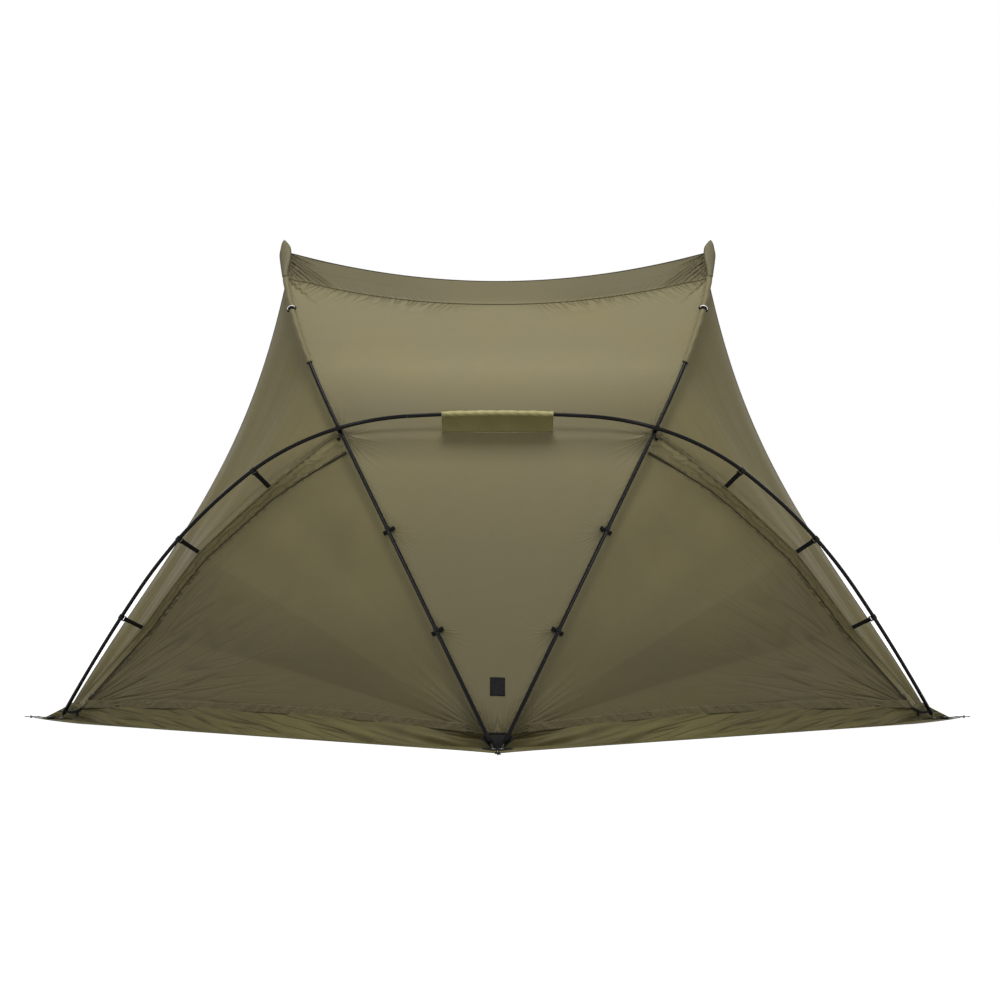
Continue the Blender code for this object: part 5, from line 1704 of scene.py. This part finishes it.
@dataclass
class Skirt:
    """The strip of greener cloth that hangs from the wall's hem and lies on the ground."""

    shape: Shape
    finishes: Finishes
    out: float = 0.100
    fall: float = 0.014
    slope: float = 0.070
    slope_blend: float = 0.10
    wall_share: float = 1.0 - 2.0 / 22.0
    tuck: float = 0.008
    tail: tuple[float, float, float] = (-0.004, 0.070, 0.050)
    tail_fall: float = 0.006
    tail_ground: tuple[float, float] = (-0.104, 0.092)
    hub_point: float = 0.145
    blend: float = 0.05
    corner_point: tuple[float, float] = (-0.130, 0.080)
    hang: float = 0.62
    thickness: float = 0.0007
    floor: float = 0.0006

    def inner(self, reach: Points) -> Points:
        """Return the line where the skirt is sewn to the wall."""
        shape = self.shape
        share = 0.015 + reach * 0.984
        rim, apex = shape.flap_seam(np.ones_like(reach)), shape.hub_corner()
        point = apex + (rim - apex) * column(share)
        point = point + shape.hem_lift() * column(np.sin(np.pi * share))
        point[..., 2] += self.tuck
        return point

    def surface(self, a: Points, b: Points) -> Points:
        """Return the skirt: a from the hub to its tail, b from the hem to its outer edge."""
        hub = np.array((0.0, self.shape.layout.rear_y, self.floor))
        foot = self.shape.foot() + np.array((0.0, 0.0, self.floor))
        heading = unit(foot - hub)
        outwards = np.array((-heading[1], heading[0], 0.0))
        beyond = np.clip((a - self.wall_share) / (1.0 - self.wall_share), 0.0, 1.0)
        inner = self.inner(np.minimum(1.0, a / self.wall_share))
        inner[..., 0] = inner[..., 0] * ramp(a / self.blend)
        inner = inner - outwards * 0.004 * column(ramp(a / self.blend))
        inner = inner + (foot + np.array(self.tail) - inner) * column(beyond)
        inner[..., 2] += 0.018 * np.sin(np.pi * beyond)
        sloping = ramp((a - self.blend) / self.slope_blend)
        sloping = sloping * ramp((self.wall_share - a) / self.slope_blend)
        fall = self.fall + (self.slope - self.fall) * sloping
        fall = fall + (self.tail_fall - fall) * beyond
        ground = inner + outwards * column(fall)
        ground[..., 2] = self.floor
        tail = foot + np.array((*self.tail_ground, 0.0))
        ground = ground + (tail - ground) * column(ramp(2.0 * beyond - 1.0))
        outer = hub + (foot - hub) * column(a) + outwards * self.out
        start = hub - np.array((0.0, self.hub_point, 0.0))
        outer = start + (outer - start) * column(ramp(a / self.blend))
        corner = foot + np.array((*self.corner_point, 0.0))
        outer = outer + (corner - outer) * column(ramp(beyond))
        down = np.minimum(1.0, b / self.hang)
        point = inner + (ground - inner) * column(down)
        on_ground = np.clip((b - self.hang) / (1.0 - self.hang), 0.0, 1.0)
        point = point + (outer - ground) * column(on_ground)
        point = point + (outwards * 0.7 + np.array((0.0, 0.0, 0.7))) * column(
            self.folds(a, down, on_ground))
        point[..., 0] = np.minimum(point[..., 0], -0.0009)
        point[..., 2] = np.maximum(point[..., 2], self.floor)
        return point

    @staticmethod
    def folds(a: Points, down: Points, on_ground: Points) -> Points:
        """Return the long slanting folds, from the hem down and over the ground."""
        run = a * 2.25
        place = down + 0.6 * on_ground
        slant = 7.4 * place + 15.0 * run + 1.2 * np.sin(2.1 * run + 0.4)
        long = np.sin(slant) + 0.45 * np.sin(2.2 * slant + 1.3)
        small = np.sin(run * 46.0 + 5.0 * place + 2.0 * np.sin(run * 5.0))
        held = np.sin(np.pi * np.clip(0.08 + 0.92 * place / 1.6, 0.0, 1.0))
        ends = ramp(a / 0.08) * ramp((1.0 - a) / 0.04) * (1.0 - 0.92 * ramp((a - 0.925) / 0.03))
        return (0.0058 * long + 0.0012 * small) * held * ends

    def build(self) -> None:
        """Build both halves with their outer hem cord."""
        for side in Side:
            name = side.value
            cloth = grid_sheet(f"ground_skirt_{name}", self.surface, 241, 30, side)
            sew(cloth, self.thickness, self.finishes.skirt,
                [f"skirt_{name}"])
            a = np.linspace(0.035, 0.995, 160)
            edge = self.surface(a, np.ones_like(a))
            inner = self.surface(a, np.full_like(a, 0.93))
            inner[..., 2] = edge[..., 2]
            middle = edge + unit(inner - edge) * 0.004
            middle[..., 2] = edge[..., 2] + 0.0003
            tape = sweep(f"skirt_hem_{name}", middle, (0.0, 0.0, 1.0),
                         round_profile(0.005, 0.0008, 8), side)
            put(tape, self.finishes.hem_grey)


def place_on(line: PoleLine, s: float, arch: bool) -> Matrix:
    """Return a placement with Z along the pole and -Y towards the cloth."""
    point, side, outward, along = line.frame(s)
    towards = side if arch else -outward
    across = np.cross(-towards, along)
    rows = np.column_stack((across, -towards, along, point))
    return Matrix([list(row) for row in rows] + [[0.0, 0.0, 0.0, 1.0]])


def moved(points: Points | Sequence[Sequence[float]], matrix: Matrix) -> Points:
    """Return points moved by a placement."""
    turn = np.array(matrix.to_3x3())
    return np.asarray(points, dtype=float) @ turn.T + np.array(matrix.translation)


@dataclass
class Fittings:
    """Straps, clips, rings, zip pulls, buckles and hooks."""

    shape: Shape
    finishes: Finishes
    web_width: float = 0.020
    web: float = 0.0016
    web_lift: float = 0.0014
    bar_at: float = 0.0183
    bar: float = 0.0034
    eye: float = 0.0029
    ring_radius: float = 0.0168
    ring_wire: float = 0.0019
    ring_tilt: float = 24.0
    ring_below_tip: float = 0.331
    ring_band: tuple[float, float, float] = (0.0123, 0.0130, 0.0066)

    def build(self) -> None:
        """Build the straps and rings, and dress the clips, zips, buckles and hooks."""
        self.dress_nodes()
        for side in Side:
            for k, place in enumerate(self.shape.layout.straps_at):
                self.build_strap(k + 1, place, side)
            for k, place in enumerate(self.shape.layout.v_clips_at):
                self.build_tab(f"v_clip_tab_{k + 1}_{side.value}", place, side)
            self.build_ring(side)
            self.build_crossing_strap(side)

    def dress_nodes(self) -> None:
        """Give the carried-over construction nodes their finishes."""
        for name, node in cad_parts.items():
            if any(word in name for word in ("clip", "buckle", "hook", "zip_pull")):
                tag_material(node, self.finishes.plastic.material)
            elif "slider" in name:
                tag_material(node, self.finishes.dull_steel.material)

    def strap(self, name: str, path: Sequence[tuple[float, float, float]], place: Matrix,
              side: Side, width: float, thickness: float = 0.0012,
              square_to: tuple[float, float, float] = (0.0, 0.0, 1.0),
              nodes: Sequence[str] = ()) -> None:
        """Lay a piece of webbing along a path.

        Args:
            name: The piece's name.
            path: Its line, in the placement's directions.
            place: The placement.
            side: The half it belongs to.
            width: The webbing's width.
            thickness: Its thickness.
            square_to: The direction that its width runs in.
            nodes: The construction nodes that it stands for.
        """
        normals = np.cross(square_to, np.gradient(np.array(path), axis=0))
        made = sweep(name, moved(path, place), moved(normals, place.to_3x3().to_4x4()),
                     flat_profile(width, thickness, -thickness / 2), side)
        put(made, self.finishes.webbing, nodes)

    def build_strap(self, number: int, at: float, side: Side) -> None:
        """Build a strap from a clip's bar down to the ridge, with its sewn tail."""
        arch = self.shape.arch
        r = self.eye + self.web / 2 - 0.0002
        end = -(self.shape.layout.ridge_standoff - 0.0030)
        path = [(0.0008, end), (0.0009, end + 0.02), (0.0008, -self.bar_at - r - 0.003)]
        path += [(r * math.cos(t), -self.bar_at + r * math.sin(t))
                 for t in np.radians(np.linspace(-60.0, 240.0, 15))]
        path += [(-0.0008, -self.bar_at - r - 0.003), (-0.0010, -self.bar_at - 0.026)]
        name = f"{number}_{side.value}"
        self.strap(f"arch_web_{name}", [(x, y, 0.0) for x, y in path],
                   place_on(arch, arch.length / 2 - at, True), side, self.web_width,
                   self.web * 0.85, nodes=[f"arch_strap_{name}"])

    def build_tab(self, name: str, at: float, side: Side) -> None:
        """Build the short loop that holds a V pole's clip on the seam."""
        low = -self.shape.layout.v_standoff + self.web_lift
        top = -self.bar_at + self.bar / 2 + 0.0009
        half = [(0.026, low), (0.012, low), (0.0062, low + 0.0012), (0.0030, top - 0.0006),
                (0.0012, top)]
        path = [(-x, y, 0.0) for x, y in half] + [(x, y, 0.0) for x, y in half[::-1]]
        self.strap(name, path, place_on(self.shape.pole, at, False), side, self.web_width * 0.9)

    def build_ring(self, side: Side) -> None:
        """Build the tie ring and the webbing loops that hold it to the sleeve."""
        name, body = side.value, f"tie_ring_{side.value}"
        place = place_on(self.shape.pole, self.shape.pole.length - self.ring_below_tip, False)
        tilt = place @ Matrix.Rotation(math.radians(self.ring_tilt), 4, "X")
        ring = spun(circle(self.ring_wire, 16, self.ring_radius), 60)
        put(settled(f"guy_ring_{name}", ring, tilt, side), self.finishes.steel, [body], body)
        far = self.ring_radius + self.ring_wire + 0.0013
        half = [(0.0122, 0.0062), (0.0148, 0.0060), (far - 0.0012, 0.0050), (far, 0.0035)]
        for k, sign in enumerate((1.0, -1.0)):
            path = [(sign * x, 0.0, -z) for x, z in half]
            path += [(sign * x, 0.0, z) for x, z in half[::-1]]
            self.strap(f"ring_loop_{k + 1}_{name}", path, place, side, 0.0075,
                       square_to=(0.0, -1.0, 0.0))
        inner, outer, wide = self.ring_band
        band = spun([(inner, -wide), (outer, -wide), (outer, wide), (inner, wide)], 30)
        layer = band.loops.layers.uv.new("threads")
        for vert in band.verts:
            for loop in vert.link_loops:
                loop[layer].uv = (math.atan2(vert.co.y, vert.co.x) * 0.0128, vert.co.z)
        put(settled(f"ring_band_{name}", band, place, side), self.finishes.webbing)

    def build_crossing_strap(self, side: Side) -> None:
        """Build the strap that ties a crossing clip to the canopy's corner."""
        low = -self.shape.layout.v_standoff + self.web_lift
        path = [(0.030, low + 0.0008), (0.022, low + 0.001), (0.0155, low + 0.0045),
                (0.0118, -0.0085), (0.0108, -0.002), (0.0098, 0.004)]
        place = place_on(self.shape.pole, self.shape.pole.crossing - 0.004, False)
        self.strap(f"crossing_tie_{side.value}", [(x, y, -0.019) for x, y in path], place, side,
                   0.012)


def trace(curve: bpy.types.Curve, points: Iterable[Sequence[float]]) -> bpy.types.Spline:
    """Add a straight-sided line through some points to a curve."""
    points = list(points)
    spline = curve.splines.new("POLY")
    spline.points.add(len(points) - 1)
    for point, place in zip(spline.points, points):
        point.co = (*place, 1.0)
    return spline


def plate(name: str, loops: Sequence[Sequence[tuple[float, float]]], depth: float,
          place: Matrix, side: Side = Side.LEFT) -> bpy.types.Object:
    """Build a flat outline with holes as a thick plate with eased edges."""
    curve = bpy.data.curves.new("outline", "CURVE")
    curve.dimensions = "2D"
    curve.fill_mode = "BOTH"
    curve.extrude = depth / 2
    for loop in loops:
        trace(curve, ((x, y, 0.0) for x, y in loop)).use_cyclic_u = True
    guide = link("guide", curve)
    shown = guide.evaluated_get(bpy.context.evaluated_depsgraph_get())
    mesh = bpy.data.meshes.new_from_object(shown)
    bpy.data.objects.remove(guide, do_unlink=True)
    bm = bmesh.new()
    bm.from_mesh(mesh)
    bmesh.ops.remove_doubles(bm, verts=bm.verts, dist=MERGE)
    bmesh.ops.recalc_face_normals(bm, faces=bm.faces)
    ease(bm, [e for e in bm.edges if len(e.link_faces) == 2 and e.calc_face_angle(0.0) > 1.2],
         0.0003, 2)
    layer = bm.loops.layers.uv.new("threads")
    for vert in bm.verts:
        for loop in vert.link_loops:
            loop[layer].uv = vert.co.xy
    return settled(name, bm, place, side)


def circle(radius: float, count: int, x: float = 0.0) -> list[tuple[float, float]]:
    """Return points round a circle."""
    return [(x + radius * math.cos(math.tau * k / count), radius * math.sin(math.tau * k / count))
            for k in range(count)]


def eyelet(name: str, place: Matrix, side: Side, hole: float = 0.0063, rim: float = 0.0102,
           rise: float = 0.0011) -> bpy.types.Object:
    """Build a pressed metal eyelet."""
    outline = [(hole, -rise * 1.4), (hole, rise * 0.5), (hole + 0.0007, rise),
               ((hole + rim) / 2, rise * 1.25), (rim - 0.0006, rise * 0.8), (rim, 0.0),
               (rim, -rise * 1.4)]
    return settled(name, spun(outline, 36), place, side)


@dataclass
class Ground:
    """The corner webbing, the rear patch, their pegging loops and grommets."""

    shape: Shape
    finishes: Finishes
    web_z: float = 0.0055
    web: float = 0.002
    web_width: float = 0.025
    web_length: float = 0.124
    hole: float = 0.0062
    hole_sides: int = 28
    behind: float = 0.018
    heading: float = 152.0
    loop_radius: float = 0.0017
    loop_length: float = 0.059
    loop_half: float = 0.009
    rear_neck: float = 0.0022
    runner: tuple[float, float, float] = (0.010, 0.026, 0.0062)
    runner_edge: float = 0.0022
    hub_loop: float = 0.165
    patch_z: float = 0.0014
    patch: float = 0.0030

    def pin_point(self, line: PoleLine, height: float) -> Points:
        """Return where a pole's pin passes a height."""
        point, _, _, along = line.frame(0.0)
        return point + along * ((height - point[2]) / along[2])

    def loop_path(self, length: float, rise: float, neck: float) -> Points:
        """Return an elastic loop's line, out along +X and back, narrower at its neck."""
        straight = length - self.loop_half
        out = []
        for k in range(18):
            half = neck + (self.loop_half - neck) * float(ramp((k / 18 - 0.50) / 0.48))
            out.append((straight * k / 18, -half, rise * float(ramp(k / 18))))
        bend = [(straight + self.loop_half * math.cos(t), self.loop_half * math.sin(t), rise)
                for t in np.radians(np.linspace(-90.0, 90.0, 13))]
        return np.array(out + bend + [(x, -y, z) for x, y, z in out[::-1]])

    def cord(self, name: str, points: Points) -> None:
        """Build one elastic pegging loop."""
        curve = bpy.data.curves.new(name, "CURVE")
        curve.dimensions = "3D"
        curve.bevel_depth = self.loop_radius
        curve.bevel_resolution = 4
        curve.use_fill_caps = True
        trace(curve, points)
        made = put(link(name, curve), self.finishes.elastic)
        tuple(points[0])

    def build(self) -> None:
        """Build both corners and the hub."""
        for side in Side:
            self.build_corner(side)
        self.build_hub()

    def build_corner(self, side: Side) -> None:
        """Build a corner's webbing, its eyelet, tail and pegging loop."""
        name = side.value
        foot = self.pin_point(self.shape.arch, self.web_z + self.web / 2)
        place = Matrix.Translation(foot) @ Matrix.Rotation(math.radians(self.heading), 4, "Z")
        half, end = self.web_width / 2, self.web_length - self.behind
        outline = [(-self.behind, -half), (end - half / 2, -half), (end, -half / 2),
                   (end, half / 2), (end - half / 2, half), (-self.behind, half)]
        strap = plate(f"corner_strap_{name}", [outline, circle(self.hole, self.hole_sides)],
                      self.web * 0.9, place, side)
        put(strap, self.finishes.webbing, [f"corner_webbing_{name}"])
        rim = eyelet(f"corner_eyelet_{name}", place @ Matrix.Translation((0, 0, self.web / 2)),
                     side)
        put(rim, self.finishes.dull_steel)
        path = self.loop_path(self.loop_length, 0.0, self.loop_half)
        path = path + np.array((end - 0.001, 0.0, 0.0))
        self.cord(f"peg_loop_{name}", moved(path, place) * side.flip)
        bm = bmesh.new()
        bmesh.ops.create_cube(bm, size=1.0)
        bmesh.ops.scale(bm, vec=self.runner, verts=bm.verts)
        ease(bm, bm.edges[:], self.runner_edge, 3)
        block = place @ Matrix.Translation((end + self.loop_length * 0.42, 0.0, 0.0))
        put(settled(f"loop_runner_{name}", bm, block, side), self.finishes.plastic)
        self.build_corner_tie(side)

    def build_corner_tie(self, side: Side) -> None:
        """Build the strap from the arch's boot to the wall's corner, with its hanging pull."""
        boot, corner = self.shape.arch.at(0.012), self.shape.flap_seam(1.0)
        t = column(np.linspace(0.0, 1.0, 15))
        sag = np.array((0.0, -0.006, -0.010)) * np.sin(np.pi * t)
        line = boot + np.array((0.004, -0.009, 0.0)) + (corner - boot) * t + sag
        drop = np.array(((0.0, -0.004, 0.004), (0.001, -0.007, -0.006), (0.0, -0.008, -0.020)))
        for name, points, profile in (
                ("corner_tie", line, flat_profile(0.011, 0.0015)),
                ("corner_pull", line[10] + drop, flat_profile(0.008, 0.0018))):
            made = sweep(f"{name}_{side.value}", points, unit((0.3, -0.9, 0.35)), profile, side)
            put(made, self.finishes.webbing)

    def build_hub(self) -> None:
        """Build the rear patch with its eyelets, gathered cloth, wings and pegging loop."""
        foot = self.pin_point(self.shape.pole, self.patch_z + self.patch / 2)
        middle = Matrix.Translation((0.0, float(foot[1]), self.patch_z + self.patch / 2))
        x = float(foot[0])
        outline = [(-0.022, -0.042), (0.022, -0.042), (0.060, 0.0136), (0.051, 0.034),
                   (-0.051, 0.034), (-0.060, 0.0136)]
        holes = [circle(self.hole, self.hole_sides, x), circle(self.hole, self.hole_sides, -x)]
        patch = plate("rear_patch", [outline, *holes], self.patch * 0.9, middle)
        put(patch, self.finishes.webbing, ["hub_patch"])
        for side in Side:
            spot = middle @ Matrix.Translation((x, 0.0, self.patch / 2))
            rim = eyelet(f"rear_eyelet_{side.value}", spot, side)
            put(rim, self.finishes.dull_steel)
            self.build_wing(side, middle)
        self.build_gathers(middle)
        rise = self.web_z + self.web / 2 - self.patch_z - self.patch / 2
        to_rear = middle @ Matrix.Translation((0.0, -0.042, 0.0))
        to_rear = to_rear @ Matrix.Rotation(-math.pi / 2, 4, "Z")
        path = self.loop_path(self.hub_loop, rise, self.rear_neck)
        self.cord("peg_loop_rear", moved(path, to_rear))

    def build_wing(self, side: Side, middle: Matrix) -> None:
        """Build the shiny three-cornered cloth from a pole's foot out to the wall's hem."""
        base = np.array(middle.translation)
        low = base + np.array((-0.018, 0.004, 0.006))
        inner = self.shape.hub_corner() + np.array((-0.004, -0.012, 0.0))
        outer = base + np.array((-0.070, 0.030, 0.040))

        def cloth(a: Points, b: Points) -> Points:
            """Return the cloth: a from the foot's side outwards, b from the foot upwards."""
            top = inner + (outer - inner) * column(a)
            foot = low + np.array((-0.010, 0.004, 0.002)) * column(a)
            point = foot + (top - foot) * column(b)
            fold = 0.0022 * np.sin(9.0 * a + 2.0 * b) * np.sin(np.pi * b) ** 0.5
            return point + np.array((0.0, -0.9, 0.3)) * column(fold)

        sew(grid_sheet(f"hub_wing_{side.value}", cloth, 25, 17, side), 0.0010,
            self.finishes.gathers)

    def build_gathers(self, middle: Matrix) -> None:
        """Build the gathered cloth between the pole feet and its two side wings."""
        base = np.array(middle.translation)
        row = np.linspace(-1.0, 1.0, 41)
        low_edge = self.shape.between(row, np.full(41, self.shape.layout.hub_edge_at),
                                      np.zeros(41))

        def gather(a: Points, b: Points) -> Points:
            """Return cloth that narrows from the canopy's edge down to the patch."""
            across = 2.0 * a - 1.0
            x = np.interp(across, row, low_edge[:, 0]) * 0.86
            top = np.stack((x, np.full_like(x, low_edge[20, 1]), np.full_like(x, low_edge[20, 2])),
                           -1) + np.array((0.0, -0.0012, 0.0010))
            narrow = np.stack((across * 0.0155, np.full_like(x, base[1] + 0.004),
                               np.full_like(x, base[2] + self.patch / 2 + 0.0004)), -1)
            point = top + (narrow - top) * column(b)
            pleat = np.sin(across * 17.0 + 0.6 * np.sin(b * 4.0)) * (0.0008 + 0.0022 * b)
            return point + np.array((0.0, -0.8, 0.3)) * column(pleat)

        sew(grid_sheet("hub_gathers", gather, 61, 25), 0.0008, self.finishes.gathers)


@dataclass
class Label:
    """The bare patch sewn to the rear centre."""

    shape: Shape
    finishes: Finishes
    canopy: Canopy
    width: float = 0.058
    height: float = 0.083
    middle_s: float = 0.254

    def face(self, a: Points, b: Points, lift: float = 0.0018) -> Points:
        """Return a point of the patch, lifted off the cloth."""
        s = self.middle_s + (b - 0.5) * self.height
        across = (2.0 * a - 1.0) * self.width / 2 / np.abs(self.shape.v_seam(s)[..., 0])
        return self.canopy.back(across, s) + np.array((0.0, -0.9, 0.42)) * lift

    def build(self) -> None:
        """Build the patch on the cloth, with its sewn rim."""
        cloth = grid_sheet("bare_label", self.face, 19, 23)
        thicken(cloth, 0.0016)
        put(cloth, self.finishes.label)
        turn = np.arange(49) / 12
        a, b = (np.interp(turn, range(5), ring) for ring in (
            (0.05, 0.95, 0.95, 0.05, 0.05), (0.04, 0.04, 0.96, 0.96, 0.04)))
        seam = sweep("label_seam", self.face(a, b, 0.0028), unit((0.0, -0.9, 0.42)),
                     round_profile(0.0006, 0.0004, 6))
        put(seam, self.finishes.webbing)


@dataclass
class Studio:
    """The camera, the lamps and the pale floor."""

    focal_pixels: float = 2509.0
    frame_pixels: float = 1000.0
    centre_x: float = 497.5
    camera_at: tuple[float, float, float] = (0.0, -10.156, 0.952)
    key_power: float = 62.0
    fill_power: float = 78.0
    front_power: float = 110.0
    world_strength: float = 0.12

    def build(self) -> None:
        """Set the camera, the lamps, the world and the floor."""
        data = bpy.data.cameras.new("photo_camera")
        data.sensor_width = 36.0
        data.lens = self.focal_pixels / self.frame_pixels * data.sensor_width
        data.shift_x = (self.frame_pixels / 2 - self.centre_x) / self.frame_pixels
        camera = link("photo_camera", data)
        camera.location = self.camera_at
        camera.rotation_euler = (math.radians(90.0), 0.0, 0.0)
        bpy.context.scene.camera = camera
        self.lamp("sky_panel", (0.0, -0.9, 4.6), 1.6, self.key_power, (0.0, 0.1, 0.6))
        for side in Side:
            self.lamp(f"side_panel_{side.value}", (3.8 * -side.sign, -5.6, 5.8), 1.3,
                      self.fill_power, (0.0, 0.0, 0.7))
        self.lamp("front_panel", (0.0, 8.0, 3.6), 3.0, self.front_power, (0.0, 0.2, 0.9))
        self.world()
        self.floor()
        bpy.context.scene.view_settings.view_transform = "Standard"

    def lamp(self, name: str, place: tuple[float, float, float], size: float, power: float,
             target: tuple[float, float, float]) -> None:
        """Add a square soft lamp that points at a place."""
        data = bpy.data.lights.new(name, "AREA")
        data.shape = "SQUARE"
        data.size, data.energy = size, power
        lamp = link(name, data)
        lamp.location = place
        heading = Vector(target) - Vector(place)
        lamp.rotation_euler = heading.to_track_quat("-Z", "Y").to_euler()

    def world(self) -> None:
        """Light the surroundings softly and show them white."""
        world = bpy.data.worlds.new("studio")
        world.use_nodes = True
        w = Wiring(world.node_tree)
        background = world.node_tree.nodes["Background"]
        rays = w.add("LightPath")
        seen = w.math("MAXIMUM", rays["Is Camera Ray"],
                      w.math("MAXIMUM", rays["Is Glossy Ray"], rays["Is Transmission Ray"]))
        background.inputs["Color"].default_value = (1.0,) * 4
        w.feed(background.inputs["Strength"],
               seen * (1.0 - self.world_strength) + self.world_strength)
        bpy.context.scene.world = world

    def floor(self) -> None:
        """Lay the floor, pale and matt, with the object's shadow on it."""
        bm = bmesh.new()
        bmesh.ops.create_grid(bm, x_segments=1, y_segments=1, size=40.0)
        floor = finished("studio_floor", bm)
        w = Look("floor_paper")
        rays = w.add("LightPath")
        seen = w.math("MAXIMUM", rays["Is Camera Ray"], rays["Is Glossy Ray"])
        pale = w.mix(seen, (0.22, 0.22, 0.21, 1.0), (0.80, 0.80, 0.79, 1.0))
        away = w.add("VectorMath", {0: w.place}, operation="LENGTH")["Value"]
        tag_material(floor, w.finish(pale, Roughness=0.9, Emission_Color=(1.0,) * 4,
                                     Emission_Strength=seen * w.band(away, 2.6, 5.0, 0.66, 1.0)))


def main() -> None:
    """Build the studio and every sub-assembly, in order."""
    logging.basicConfig(level=logging.INFO, format="%(message)s")
    shape = Shape(Layout())
    finishes = Finishes()
    Studio().build()
    Ground(shape, finishes).build()
    canopy = Canopy(shape, finishes)
    Frame(shape, finishes).build()
    canopy.build()
    Trim(shape, finishes, canopy).build()
    Sleeves(shape, finishes).build()
    Skirt(shape, finishes).build()
    Fittings(shape, finishes).build()
    Label(shape, finishes, canopy).build()


if __name__ == "__main__":
    main()
